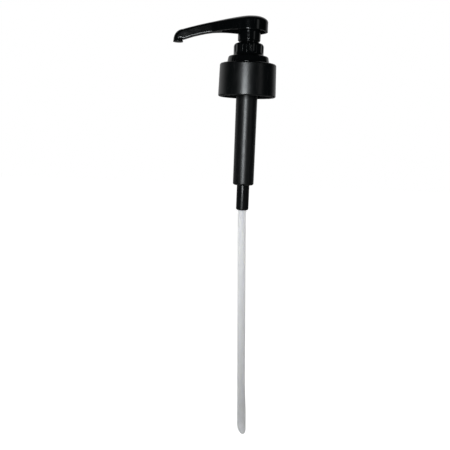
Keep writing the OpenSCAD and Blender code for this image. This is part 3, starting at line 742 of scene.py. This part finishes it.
@dataclass
class PressHead:
    """The press head with its spout, lock neck and nozzle tip.

    Attributes:
        collar_top_z: Top of the collar that the head screws down to.
        spigot_z: Lower end of the head's spigot.
        crown_top_z: Highest point of the head.
    """

    collar_top_z: float
    spigot_z: float
    crown_top_z: float
    head_r: float = 13.4
    head_h: float = 10.7
    wall_h: float = 6.5  # of the upright wall under the dome
    flat_r: float = 3.0  # of the crown's flat
    skirt_t: float = 1.8
    hollow_h: float = 5.6
    hollow_reach: float = 20.0
    overlap: float = 1.0  # of forms that are joined or cut
    rib_wall: float = 0.9
    bore_r: float = 1.9
    bore_rise: float = 7.5  # from the rim, at the axis
    neck_top_r: float = 8.35
    neck_end_r: float = 8.25
    neck_h: float = 7.1
    neck_chamfer: float = 0.8
    spigot_r: float = 7.3
    lock_gap: float = 1.2
    stem_r: float = 4.62
    spout_reach: float = 48.1  # to the nozzle's seam
    spout_w: float = 6.7
    spout_fall: float = 8.0  # slope of the upper line at its crest
    crest: float = 1.4  # distance from the axis to that crest
    arch_r: float = 290.0  # of the upper line
    sag_r: float = 109.0  # of the lower line
    root: float = 10.0  # distance from the axis to the start of that arc
    taper: float = 22.8  # of each flank, in plan
    crown_blend: float = 0.5
    taper_blend: float = 1.2
    spout_crown_h: float = 1.9
    crown_share: float = 0.85  # of the half width, in the upper rounding
    edge_r: float = 0.5
    edge_share: float = 0.4  # of the half width, at most, in the lower rounding
    outlet_l: float = 7.3
    outlet_w: float = 7.2
    outlet_flare: float = 0.25
    outlet_flat: float = 0.15
    turn_r: float = 0.3  # inner radius of the nozzle's turn
    swell: float = 0.75  # share of the turn by which the nozzle has its full depth
    drop: float = 1.7  # from the turn's hinge to the lip
    seam_step: float = 0.15
    outlet_bore_r: float = 2.1
    outlet_lip_r: float = 0.3
    outlet_depth: float = 4.5
    first_turn: float = 0.8  # from the head's back end to its first section
    head_steps: int = 80
    spout_steps: int = 72
    turn_steps: int = 44
    lip_steps: int = 6
    plan_steps: int = 150
    rib_sides: int = 48
    neck_sides: int = 128

    @classmethod
    def from_frame(cls) -> "PressHead":
        """Takes the head's levels from the frame."""
        low, high = node_span("actuator_head")
        return cls(node_span("lock_collar")[1][2], low[2], high[2])

    @property
    def neck_z(self) -> float:
        """Lower end of the lock neck."""
        return self.collar_top_z + self.lock_gap

    @property
    def rim_z(self) -> float:
        """Lower rim of the head."""
        return self.neck_z + self.neck_h

    def half_width(self, x: np.ndarray) -> np.ndarray:
        """Half width in plan: a circle, its tangent taper, then the parallel spout.

        Args:
            x: Places along the spout.

        Returns:
            Half widths at those places.
        """
        s, c = sin(radians(self.taper)), cos(radians(self.taper))
        circle = np.sqrt(np.maximum(self.head_r**2 - x * x, 0.0))
        line = (self.head_r + x * s) / c
        k = self.taper_blend * smooth((-self.head_r * s - x) / self.head_r)
        return np.where(x > -self.head_r * s, circle, soft_max(line, self.spout_w / 2, k))

    def top_line(self, x: np.ndarray) -> np.ndarray:
        """Upper line in side view: the falling spout, blended into a dome with a flat crown.

        The spout's line is crown - d tan(fall) - d^2 / (2 arch_r), with d from its crest.

        Args:
            x: Places along the spout.

        Returns:
            Heights of the upper line.
        """
        crown, wall = self.rim_z + self.head_h, self.rim_z + self.wall_h
        out = np.clip((x - self.flat_r) / (self.head_r - self.flat_r), 0.0, 1.0)
        dome = wall + (crown - wall) * np.sqrt(1 - out * out)
        run = -x - self.crest
        spout = crown - run * tan(radians(self.spout_fall)) - run * run / (2 * self.arch_r)
        return np.minimum(soft_min(spout, dome, self.crown_blend), self.crown_top_z)

    def underside(self, x: np.ndarray) -> np.ndarray:
        """Lower line in side view: level under the head, then an arc that falls along the spout."""
        out = np.minimum(x + self.root, 0.0)
        return self.rim_z - self.sag_r + np.sqrt(self.sag_r**2 - out * out)

    def crown_height(self, x: np.ndarray) -> np.ndarray:
        """Height of the upper rounding: the dome's own on the head, easing to the spout's.

        Args:
            x: Places along the spout.

        Returns:
            Heights of the rounding.
        """
        wall, half = self.rim_z + self.wall_h, self.spout_w / 2
        at_axis = self.top_line(np.zeros(1)) - wall
        share = (self.half_width(x) - half) / (self.head_r - half)
        return np.where(x > 0, self.top_line(x) - wall, mix(self.spout_crown_h, at_axis, share))

    def shell(self) -> Surface:
        """Lofts the head and spout through upright sections along X.

        Returns:
            The closed outer form.
        """
        angles = np.radians(np.linspace(self.first_turn, 90 + self.taper, self.head_steps))
        taper_x = -self.head_r * sin(radians(self.taper))
        spout_x = np.linspace(taper_x, -self.spout_reach, self.spout_steps)
        x = np.concatenate([self.head_r * np.cos(angles), spout_x[1:]])
        w = self.half_width(x)
        edge = np.minimum(self.edge_r, self.edge_share * w)
        crown = (self.crown_share * w, self.crown_height(x))
        ring = rounded_section(w, self.underside(x), self.top_line(x), crown, (edge, edge))
        return Surface.rod(x[:, None], ring[..., 0], ring[..., 1])

    def hollow(self) -> Surface:
        """Extrudes the hollow under the head: the plan inside its skirt, cut off in the spout.

        The plan is a circle of radius r and the taper's lines, y = (r + x sin(taper)) / cos(taper).

        Returns:
            The closed form that is cut away.
        """
        r, taper = self.head_r - self.skirt_t, radians(self.taper)
        angle = np.linspace(-pi / 2 - taper, pi / 2 + taper, self.plan_steps)
        end_y = (r - self.hollow_reach * sin(taper)) / cos(taper)
        end = [[-self.hollow_reach, end_y], [-self.hollow_reach, -end_y]]
        arc = np.stack([r * np.cos(angle), r * np.sin(angle)], axis=-1)
        x, y = np.concatenate([arc, end]).T
        level = np.array([self.rim_z - self.overlap, self.rim_z + self.hollow_h])[:, None]
        return Surface.rod(x, y, level)

    def rib(self) -> Surface:
        """A rod round the line of the spout's bore, from the axis to the seam of the nozzle tip.

        Returns:
            The closed rod.
        """
        seam = np.array([-self.spout_reach])
        along = np.array([0.0, -self.spout_reach])[:, None]
        seam_z = (self.top_line(seam) + self.underside(seam)) / 2
        middle = mix(self.rim_z + self.bore_rise, seam_z, along / seam)
        angle, r = full_turn(self.rib_sides), self.bore_r + self.rib_wall
        return Surface.rod(along, r * np.cos(angle), middle + r * np.sin(angle))

    def neck(self) -> Surface:
        """Turns the lock neck and its spigot round the stem's bore.

        Returns:
            The closed ring.
        """
        top = self.rim_z + self.hollow_h + self.overlap
        outline = rounded_outline([
            (self.stem_r, self.spigot_z, FINE), (self.spigot_r, self.spigot_z, EASED),
            (self.spigot_r, self.neck_z, SHARP),
            (self.neck_end_r - self.neck_chamfer, self.neck_z, SHARP),
            (self.neck_end_r, self.neck_z + self.neck_chamfer, SOFT),
            (self.neck_top_r, self.rim_z, SHARP),
            (self.neck_top_r, top, SHARP), (self.stem_r, top, SHARP),
        ])
        return Surface.over(revolved(outline, self.neck_sides), ring_rows=True)

    def nozzle(self) -> Surface:
        """Swings the spout's end section down round a hinge line and drills the outlet.

        Each section turns by a share t of a right angle while it eases from the spout's section to
        the round waist above the outlet. The flared lip, the bore and its blind end are more rings.

        Returns:
            The closed nozzle tip.
        """
        seam = np.array([-self.spout_reach])
        hinge_z = self.underside(seam) - self.turn_r
        seam_w = self.half_width(seam) - self.seam_step
        seam_h = self.top_line(seam) - self.seam_step - hinge_z
        waist_w = self.outlet_w / 2 - self.outlet_flare
        waist_c = self.outlet_l / 2 - self.outlet_flare
        round_w, round_c = waist_w - self.outlet_flat, waist_c - self.outlet_flat
        t = np.linspace(0, 1, self.turn_steps)
        s = smooth(t)
        ring = rounded_section(
            mix(seam_w, waist_w, s),
            np.full_like(t, self.turn_r),
            mix(seam_h, self.turn_r + 2 * waist_c, smooth(t / self.swell)),
            (mix(self.crown_share * seam_w, round_w, s), mix(self.spout_crown_h, round_c, s)),
            (mix(self.edge_r, round_w, s), mix(self.edge_r, round_c, s)),
        )
        angle = (pi / 2 * (1 + t))[:, None]
        across, up = ring[..., 0], ring[..., 1]
        turn = gridded(seam + up * np.cos(angle), across, hinge_z + up * np.sin(angle))
        middle = np.array([turn[-1, :, 0].min() + waist_c, 0.0, 0.0])
        flare = [self.outlet_l / (2 * waist_c), self.outlet_w / (2 * waist_w), 0]
        out = (turn[-1] - middle) * flare
        unit = out / np.linalg.norm(out, axis=1, keepdims=True)
        lip = np.linspace(0, pi / 2, self.lip_steps)[:, None, None]
        inset, rise = self.outlet_lip_r * (1 - np.cos(lip)), self.outlet_lip_r * (1 - np.sin(lip))
        mouth = (self.outlet_bore_r + inset) * unit
        blind = self.outlet_bore_r * unit[None]
        rings = np.concatenate([out - inset * unit, mouth[::-1], blind])
        lip_z = hinge_z - self.drop
        heights = lip_z + np.concatenate([rise, rise[::-1], [[[self.outlet_depth]]]])
        lower = middle + rings + np.array([0, 0, 1]) * heights
        return Surface.over(capped(np.concatenate([turn, lower])))

    def build(self, shop: Workshop) -> None:
        """Builds and dresses the head, its lock thread and the nozzle tip.

        Args:
            shop: Dresses the pieces.
        """
        head = self.shell().piece("press_head")
        hollow = self.hollow().piece("head_hollow")
        carve(hollow, self.rib().piece("bore_rib"), Cut.REMOVE)
        carve(head, hollow, Cut.REMOVE)
        carve(head, self.neck().piece("head_neck"), Cut.ADD)
        shop.dress(head, Slot.HEAD, Body.HEAD, "actuator_head")
        shop.dress(self.nozzle().piece("spout_nozzle"), Slot.HEAD, Body.HEAD, "nozzle_tip")
        thread = HelixRidge(
            wall_r=self.spigot_r, height=0.3, foot_w=1.1, crest_w=LOCK_CREST_W,
            pitch=LOCK_PITCH, turns=1.2, low_z=self.spigot_z + 0.9,
        )
        shop.dress(thread.surface().piece("head_lock_thread"), Slot.HEAD, Body.HEAD)


@dataclass
class LockCollar:
    """The fluted collar that the head screws into.

    Attributes:
        low_z: Underside of the collar.
        top_z: Top of the collar.
        foot_r: Radius of its flange at the foot.
    """

    low_z: float
    top_z: float
    foot_r: float
    foot_edge_r: float = 0.35
    neck_r: float = 9.12
    grip_r: float = 11.0
    grip_h: float = 9.2
    flange_top_r: float = 14.6
    flange_edge_r: float = 1.3
    fillet_r: float = 1.7
    crown_r: float = 2.4
    socket_r: float = 8.0
    socket_h: float = 4.3
    web_t: float = 1.2
    web_r: float = 4.9
    flutes: int = 18
    flute_r: float = 6.0
    flute_depth: float = 0.35
    flute_band: float = 2.6  # plain height under the flutes
    flute_run_out: float = 0.7
    flute_steps: int = 20  # points across one flute
    bore_margin: float = 0.1  # outside the socket, where flutes may start
    step: float = 0.5  # longest side of the outline
    sharp: float = 28.0  # angle above which an edge is shaded as sharp

    @classmethod
    def from_frame(cls) -> "LockCollar":
        """Takes the collar's levels and reach from the frame."""
        low, high = node_span("lock_collar")
        return cls(low[2], high[2], high[0])

    def body(self) -> Surface:
        """Turns the collar and presses the flutes into its grip.

        A flute is a round bar that stands outside the grip, so its floor lies at
        r = c cos a - sqrt(R^2 - c^2 sin^2 a), with a from the flute's own middle.

        Returns:
            The closed collar.
        """
        grip_z, socket_z = self.top_z - self.grip_h, self.top_z - self.socket_h
        web_z = socket_z - self.web_t
        outline = densified(rounded_outline([
            (self.neck_r, self.low_z, SHARP), (self.foot_r, self.low_z, self.foot_edge_r),
            (self.flange_top_r, grip_z, self.flange_edge_r), (self.grip_r, grip_z, self.fillet_r),
            (self.grip_r, self.top_z, self.crown_r), (self.socket_r, self.top_z, SOFT),
            (self.socket_r, socket_z, FINE), (self.web_r, socket_z, FINE),
            (self.web_r, web_z, SHARP), (self.neck_r, web_z, SHARP),
        ]), self.step)
        sides = self.flutes * self.flute_steps
        grid = revolved(outline, sides)
        pitch = 2 * pi / self.flutes
        off = full_turn(sides) % pitch - pitch / 2
        centre = self.grip_r - self.flute_depth + self.flute_r
        floor = centre * np.cos(off) - np.sqrt(self.flute_r**2 - (centre * np.sin(off)) ** 2)
        r, z = outline[:, :1], outline[:, 1:]
        run_out = smooth((z - grip_z - self.flute_band + self.flute_run_out) / self.flute_run_out)
        outside = r > self.socket_r + self.bore_margin
        depth = np.maximum(r - floor, 0.0) * run_out * outside
        grid[..., :2] *= (1 - depth / r)[..., None]
        return Surface.over(grid, ring_rows=True)

    def build(self, shop: Workshop) -> None:
        """Builds and dresses the collar and the thread in its socket.

        Args:
            shop: Dresses the pieces.
        """
        collar = self.body().piece("fluted_collar", self.sharp)
        shop.dress(collar, Slot.HEAD, Body.HOUSING, "lock_collar")
        thread = HelixRidge(
            wall_r=self.socket_r, height=-0.3, foot_w=1.0, crest_w=LOCK_CREST_W,
            pitch=LOCK_PITCH, turns=1.1, low_z=self.top_z - self.socket_h + 1.0, start=180.0,
        )
        shop.dress(thread.surface().piece("collar_lock_thread"), Slot.HEAD, Body.HOUSING)


@dataclass
class ScrewClosure:
    """The smooth screw closure with the thread inside it.

    Attributes:
        mouth_z: Lower edge of the closure.
        top_z: Upper face of the closure.
        mouth_r: Radius at the mouth.
    """

    mouth_z: float
    top_z: float
    mouth_r: float
    top_r: float = 20.7
    bore_r: float = 19.05
    bore_edge_r: float = 0.5
    roof_t: float = 1.8
    hole_r: float = 9.4
    crown_r: float = 1.2
    lip_r: float = 1.1
    sides: int = 224

    @classmethod
    def from_frame(cls) -> "ScrewClosure":
        """Takes the closure's levels and reach from the frame."""
        low, high = node_span("closure")
        return cls(low[2], high[2], high[0])

    def build(self, shop: Workshop) -> None:
        """Builds and dresses the closure and its thread.

        Args:
            shop: Dresses the pieces.
        """
        roof_z = self.top_z - self.roof_t
        shell = turned("smooth_closure", [
            (self.hole_r, roof_z, SHARP), (self.bore_r, roof_z, self.bore_edge_r),
            (self.bore_r, self.mouth_z, self.bore_edge_r),
            (self.mouth_r, self.mouth_z, self.lip_r), (self.top_r, self.top_z, self.crown_r),
            (self.hole_r, self.top_z, SOFT),
        ], self.sides)
        shop.dress(shell, Slot.CLOSURE, Body.CLOSURE, "closure")
        thread = HelixRidge(
            wall_r=self.bore_r, height=-1.0, foot_w=2.3, crest_w=0.9,
            pitch=4.2, turns=1.6, low_z=self.mouth_z + 4.0,
        )
        shop.dress(thread.surface().piece("closure_thread"), Slot.CLOSURE, Body.CLOSURE)


@dataclass
class Barrel:
    """The pump's barrel and the socket that carries the dip tube.

    Attributes:
        foot_z: Underside of the barrel.
        top_z: Top of the barrel's neck.
        flange_r: Radius of its flange.
        socket_end_z: Lower end of the tube's socket.
        socket_top_z: Top of the socket's shoulder inside the barrel.
        shoulder_r: Radius of that shoulder.
    """

    foot_z: float
    top_z: float
    flange_r: float
    socket_end_z: float
    socket_top_z: float
    shoulder_r: float
    foot_r: float = 7.85
    under_flange_r: float = 7.95
    bore_r: float = 6.75
    land_h: float = 3.0
    foot_round: float = 1.5
    floor_t: float = 2.0
    flange_z: float = 1.5
    flange_t: float = 2.0
    neck_r: float = 9.1
    vent_r: float = 0.8
    vent_z: float = -4.5
    vent_past: float = 0.5  # how far the vent's rod stands out of the wall
    vent_sides: int = 24
    socket_r: float = 4.75
    socket_gap: float = 0.02  # round the socket in the barrel's floor
    tube_r: float = 3.07
    socket_end_round: float = 1.3
    socket_grip: float = 16.0
    seat_mouth_r: float = 3.775
    seat_hole_r: float = 2.1

    @classmethod
    def from_frame(cls) -> "Barrel":
        """Takes the levels and reach of the barrel and its socket from the frame."""
        (low, high), (end, top) = node_span("pump_cylinder"), node_span("tube_adaptor")
        return cls(low[2], high[2], high[0], end[2], top[2], top[0])

    def vent(self) -> Surface:
        """A rod along +Y through the wall, for the air vent.

        Returns:
            The closed rod.
        """
        angle = full_turn(self.vent_sides)
        ends = [self.bore_r - self.vent_past, self.under_flange_r + self.vent_past]
        x, z = self.vent_r * np.cos(angle), self.vent_z + self.vent_r * np.sin(angle)
        return Surface.rod(x, np.array(ends)[:, None], z)

    def build(self, shop: Workshop) -> None:
        """Builds and dresses the barrel and the tube's socket.

        Args:
            shop: Dresses the pieces.
        """
        hole_r, floor_z = self.socket_r + self.socket_gap, self.foot_z + self.floor_t
        flange_top = self.flange_z + self.flange_t
        barrel = turned("matte_barrel", [
            (hole_r, self.foot_z, SHARP), (self.foot_r, self.foot_z, self.foot_round),
            (self.foot_r, self.foot_z + self.land_h, SHARP),
            (self.under_flange_r, self.flange_z, EASED),
            (self.flange_r, self.flange_z, SOFT), (self.flange_r, flange_top, SOFT),
            (self.neck_r, flange_top, SOFT), (self.neck_r, self.top_z, SOFT),
            (self.bore_r, self.top_z, FINE), (self.bore_r, floor_z, SHARP),
            (hole_r, floor_z, SHARP),
        ])
        carve(barrel, self.vent().piece("vent_rod"), Cut.REMOVE)
        shop.dress(barrel, Slot.BARREL, Body.HOUSING, "pump_cylinder")
        stop_z = self.socket_end_z + self.socket_grip
        seat_z = self.socket_top_z - self.seat_mouth_r + self.seat_hole_r
        socket = turned("tube_socket", [
            (self.tube_r, self.socket_end_z, SHARP),
            (self.socket_r, self.socket_end_z, self.socket_end_round),
            (self.socket_r, floor_z, SHARP), (self.shoulder_r, floor_z, SHARP),
            (self.shoulder_r, self.socket_top_z, FINE),
            (self.seat_mouth_r, self.socket_top_z, SHARP),
            (self.seat_hole_r, seat_z, SHARP), (self.seat_hole_r, stop_z, SHARP),
            (self.tube_r, stop_z, SHARP),
        ])
        shop.dress(socket, Slot.ADAPTOR, Body.HOUSING, "tube_adaptor")


@dataclass
class DipTube:
    """The dip tube: straight in its socket, a set bend, then straight to a slash-cut end.

    Attributes:
        top_z: Upper end of the tube, inside its socket.
        socket_end_z: Lower end of that socket.
    """

    top_z: float
    socket_end_z: float
    r: float = 3.05
    bore_r: float = 2.15
    free: float = 178.1  # length outside the socket
    lead: float = 1.0  # straight length under the socket
    bend_r: float = 300.0
    bend: float = 2.1
    cut: float = 62.5  # slant of the end, from square
    cut_turn: float = -74.0  # direction in which the end reaches furthest
    cut_run: float = 16.0  # length over which the rings tip
    press: float = 0.42  # what the oval's half axes gain and lose
    press_start: float = 43.0  # distance from the end
    press_run: float = 37.0
    sides: int = 72
    rings: int = 60
    cut_rings: int = 24
    sharp: float = 40.0  # angle above which an edge is shaded as sharp

    @classmethod
    def from_frame(cls) -> "DipTube":
        """Takes the tube's levels from the frame."""
        return cls(node_span("dip_tube")[1][2], node_span("tube_adaptor")[0][2])

    def wall(self, run: np.ndarray, r: float) -> np.ndarray:
        """Rings round the centre line, tipped step by step into the plane of the cut.

        The line runs down Z, then round a circle of the bend's radius in the XZ plane, then along
        its tangent. Towards the end the rings are pressed to ovals with half axes r + p and r - p,
        and drift by p along X. At the end each point of a ring is shifted along the line by
        tan(cut) times its reach in the direction of the cut.

        Args:
            run: Distances of the rings along the centre line from the tube's upper end.
            r: Radius of the rings.

        Returns:
            A grid of points, one row for each ring.
        """
        angle, turn = full_turn(self.sides), radians(self.cut_turn)
        straight, bend = self.top_z - self.socket_end_z + self.lead, radians(self.bend)
        from_end = (run - run[-1])[:, None]
        share = smooth((from_end + self.cut_run) / self.cut_run)
        press = self.press * smooth((from_end + self.press_start) / self.press_run)
        a, b = (r + press) * np.cos(angle), (r - press) * np.sin(angle)
        shift = tan(radians(self.cut)) * (a * cos(turn) + b * sin(turn))
        s = run[:, None] + share * shift
        lean = np.clip((s - straight) / self.bend_r, 0.0, bend)
        past = np.maximum(s - straight - self.bend_r * bend, 0.0)
        x = press + self.bend_r * (1 - np.cos(lean)) + past * np.sin(lean)
        z = self.top_z - np.minimum(s, straight) - self.bend_r * np.sin(lean) - past * np.cos(lean)
        return gridded(x + a * np.cos(lean), b, z + a * np.sin(lean))

    def build(self, shop: Workshop) -> None:
        """Builds and dresses the tube.

        Args:
            shop: Dresses the piece.
        """
        length = self.top_z - self.socket_end_z + self.free
        plain = length - self.cut_run
        end = np.linspace(plain, length, self.cut_rings)[1:]
        run = np.concatenate([np.linspace(0, plain, self.rings), end])
        grid = np.concatenate([self.wall(run, self.r), self.wall(run, self.bore_r)[::-1]])
        tube = Surface.over(grid, ring_rows=True).piece("translucent_tube", self.sharp)
        shop.dress(tube, Slot.TUBE, Body.HOUSING, "dip_tube")


@dataclass
class Plunger:
    """The hollow stem and the return spring under its piston.

    Attributes:
        stem_low_z: Lower end of the stem.
        stem_top_z: Upper end of the stem.
        spring_low_z: Foot of the spring.
        spring_top_z: Top of the spring.
    """

    stem_low_z: float
    stem_top_z: float
    spring_low_z: float
    spring_top_z: float
    stem_r: float = 4.6
    stem_bore_r: float = 2.6
    stem_sides: int = 96
    shoulder_r: float = 5.8
    shoulder_z: float = -45.3
    shoulder_t: float = 1.5
    seat_mouth_r: float = 3.1
    seat_hole_r: float = 1.6
    wire_r: float = 0.55
    wire_sides: int = 12
    coil_r: float = 5.6
    coil_steps: int = 32  # sections in one turn
    turns: int = 10

    @classmethod
    def from_frame(cls) -> "Plunger":
        """Takes the levels of the stem and the spring from the frame."""
        stem, spring = node_span("stem"), node_span("return_spring")
        return cls(stem[0][2], stem[1][2], spring[0][2], spring[1][2])

    def coil(self) -> Surface:
        """Carries a round wire along a helix that rises evenly from its foot.

        The centre runs at z = foot + rise * share of the turns, and the wire's section stands
        across the helix's own direction.

        Returns:
            The closed coil.
        """
        turn = np.linspace(0, self.turns, self.turns * self.coil_steps + 1)[:, None]
        rise = self.spring_top_z - self.spring_low_z - 2 * self.wire_r
        lean = atan(rise / (2 * pi * self.coil_r * self.turns))
        around, angle = full_turn(self.wire_sides), 2 * pi * turn
        out, up = self.wire_r * np.cos(around), self.wire_r * np.sin(around)
        r, back = self.coil_r + out, up * sin(lean)
        x = r * np.cos(angle) + back * np.sin(angle)
        y = r * np.sin(angle) - back * np.cos(angle)
        z = self.spring_low_z + self.wire_r + rise * turn / self.turns + up * cos(lean)
        return Surface.rod(x, y, z)

    def build(self, shop: Workshop) -> None:
        """Builds and dresses the stem and the spring.

        Args:
            shop: Dresses the pieces.
        """
        shoulder_top = self.shoulder_z + self.shoulder_t
        apex_z = self.stem_top_z - self.seat_mouth_r
        stem = turned("hollow_stem", [
            (self.seat_hole_r, apex_z + self.seat_hole_r, SHARP),
            (self.seat_mouth_r, self.stem_top_z, SHARP),
            (self.stem_r, self.stem_top_z, FINE), (self.stem_r, shoulder_top, SOFT),
            (self.shoulder_r, shoulder_top, FINE), (self.shoulder_r, self.shoulder_z, FINE),
            (self.stem_r, self.shoulder_z, SHARP), (self.stem_r, self.stem_low_z, FINE),
            (self.stem_bore_r, self.stem_low_z, SHARP),
            (self.stem_bore_r, apex_z - self.stem_bore_r, SHARP),
            (self.seat_hole_r, apex_z - self.seat_hole_r, SHARP),
        ], self.stem_sides)
        shop.dress(stem, Slot.NATURAL, Body.HEAD, "stem")
        spring = shop.dress(self.coil().piece("coil_spring"), Slot.SPRING, None, "return_spring")
        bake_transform(spring)


KEPT_NODES: dict[str, Slot] = {
    "piston": Slot.NATURAL,
    "piston_retainer": Slot.NATURAL,
    "stem_guide": Slot.NATURAL,
    "ball_cage": Slot.NATURAL,
    "stem_wiper": Slot.SEAL,
    "sealing_gasket": Slot.SEAL,
    "inlet_ball": Slot.BALL,
    "outlet_ball": Slot.BALL,
}


@dataclass(frozen=True)
class Lamp:
    """A soft lamp that faces a point of the pump.

    Attributes:
        name: Name of the lamp.
        place: Where it hangs.
        aim: Point that it faces.
        size: Width and height.
        watts: Power.
        spread: Angle of the beam.
        mirrored: Whether glossy surfaces show it.
        colour: Colour of its light.
    """

    name: str
    place: tuple[float, float, float]
    aim: tuple[float, float, float]
    size: tuple[float, float]
    watts: float
    spread: float = 180.0
    mirrored: bool = True
    colour: Colour = (1.0, 1.0, 1.0)

    def hang(self) -> None:
        """Adds the lamp to the scene."""
        data = bpy.data.lights.new(self.name, "AREA")
        data.shape = "RECTANGLE"
        data.size, data.size_y = (MM * s for s in self.size)
        data.energy, data.color = self.watts, self.colour
        data.spread = radians(self.spread)
        lamp = bpy.data.objects.new(self.name, data)
        lamp.location = Vector(self.place) * MM
        lamp.rotation_mode = "QUATERNION"
        way = Vector(self.aim) - Vector(self.place)
        lamp.rotation_quaternion = way.to_track_quat("-Z", "Y")
        lamp.visible_camera, lamp.visible_glossy = False, self.mirrored
        bpy.context.scene.collection.objects.link(lamp)


LAMPS: tuple[Lamp, ...] = (
    Lamp(
        "front_window", (-85, -430, -30), (0, 0, -30), (125, 176), 0.62, 120.0,
        colour=(0.955, 1.0, 1.025),
    ),
    Lamp("side_window", (330, -280, 40), (0, 0, 0), (100, 220), 0.03),
    Lamp("front_veil", (0, -260, -90), (0, 0, -90), (260, 200), 0.1, 130.0, mirrored=False),
    Lamp("left_veil", (-260, -40, -90), (0, 0, -90), (200, 200), 0.27, 130.0, mirrored=False),
    Lamp("right_veil", (260, -40, -90), (0, 0, -90), (200, 200), 0.21, 130.0, mirrored=False),
)


@dataclass
class Studio:
    """White surroundings, a pale floor, the lamps and the camera.

    Attributes:
        image_px: Side of the square picture.
        focal_px: Focal length in pixels of that picture.
        sensor_mm: Width of the camera's sensor.
        clip_m: Nearest and furthest distance that the camera shows, in metres.
        camera: Where the camera stands.
        pitch: Degrees that it looks down.
        roll: Degrees that it leans to the left.
        floor_gap: Height of the tube's end above the floor.
        floor_side: Side of the square floor.
        floor_grey: Grey of the floor under the lamps.
        floor_glow: What the camera sees of it besides.
        front_light: Strength of the surroundings in front of the pump.
        back_light: Strength of the surroundings behind it.
        light_span: Where the one gives way to the other, as a share of the way back.
        light_turn: How far the bright part reaches round on the left.
    """

    image_px: float = 450.0
    focal_px: float = 560.0
    sensor_mm: float = 36.0
    clip_m: tuple[float, float] = (0.01, 50.0)
    camera: tuple[float, float, float] = (-12.65, -425.0, -46.4)
    pitch: float = 9.1
    roll: float = 2.1
    floor_gap: float = 60.0
    floor_side: float = 6000.0
    floor_grey: float = 0.55
    floor_glow: float = 0.97
    front_light: float = 0.004
    back_light: float = 0.54
    light_span: tuple[float, float] = (0.15, 0.75)
    light_turn: float = 0.2

    def add_camera(self) -> None:
        """Adds the camera at the photograph's angle."""
        data = bpy.data.cameras.new("camera")
        data.sensor_width = self.sensor_mm
        data.lens = self.sensor_mm * self.focal_px / self.image_px
        data.clip_start, data.clip_end = self.clip_m
        camera = bpy.data.objects.new("camera", data)
        camera.location = Vector(self.camera) * MM
        tilt = Matrix.Rotation(pi / 2 - radians(self.pitch), 3, "X")
        turn = tilt @ Matrix.Rotation(radians(self.roll), 3, "Z")
        camera.rotation_euler = turn.to_euler()
        bpy.context.scene.collection.objects.link(camera)
        bpy.context.scene.camera = camera

    def add_world(self) -> None:
        """Adds surroundings that are white to the camera, bright behind the pump and dark in front.

        The bright part reaches further round on the left.
        """
        world = bpy.data.worlds.new("surroundings")
        world.use_nodes = True
        world.cycles.sampling_method = "NONE"
        bpy.context.scene.world = world
        shader = Shader(world.node_tree)
        way = shader.add("ShaderNodeTexCoord").outputs["Generated"]
        part = shader.add("ShaderNodeSeparateXYZ", {0: way}).outputs
        left = shader.math("MULTIPLY", part["X"], self.light_turn)
        back = shader.math("SUBTRACT", part["Y"], left)
        light = shader.remap(back, self.light_span, (self.front_light, self.back_light))
        level = shader.add("ShaderNodeMix", {0: shader.seen(), 2: light, 3: 1.0}, data_type="FLOAT")
        white = {"Color": (1, 1, 1, 1), "Strength": level.outputs[0]}
        glow = shader.add("ShaderNodeBackground", white)
        shader.add("ShaderNodeOutputWorld", {"Surface": glow.outputs[0]})

    def add_floor(self) -> None:
        """Adds a pale floor below the pump, which is white to the camera apart from its shadow."""
        level = CAD_BOX[0][2] / MM - self.floor_gap
        side = np.linspace(-0.5, 0.5, 3) * self.floor_side
        grid = gridded(side[:, None], side[None, :], level)
        floor = Surface.over(grid, ring_columns=False).piece("floor")
        made, shader = Shader.material("floor_white")
        grey = (self.floor_grey, self.floor_grey, self.floor_grey, 1)
        paint = shader.add("ShaderNodeBsdfDiffuse", {"Color": grey})
        strength = shader.math("MULTIPLY", shader.seen(), self.floor_glow)
        glow = shader.add("ShaderNodeEmission", {"Strength": strength})
        both = shader.add("ShaderNodeAddShader", {0: paint.outputs[0], 1: glow.outputs[0]})
        shader.add("ShaderNodeOutputMaterial", {"Surface": both.outputs[0]})
        floor.data.materials.append(made)

    def build(self) -> None:
        """Adds everything round the pump."""
        bpy.context.scene.view_settings.view_transform = "Standard"
        self.add_camera()
        self.add_world()
        self.add_floor()
        for lamp in LAMPS:
            lamp.hang()


def main() -> None:
    """Builds the studio and the pump, sub-assembly by sub-assembly."""
    logging.basicConfig(level=logging.INFO, format="%(name)s: %(message)s")
    Studio().build()
    shop = Workshop()
    for assembly in (PressHead, LockCollar, ScrewClosure, Barrel, DipTube, Plunger):
        assembly.from_frame().build(shop)
    for node, slot in KEPT_NODES.items():
        shop.dress_node(node, slot)


if __name__ == "__main__":
    main()
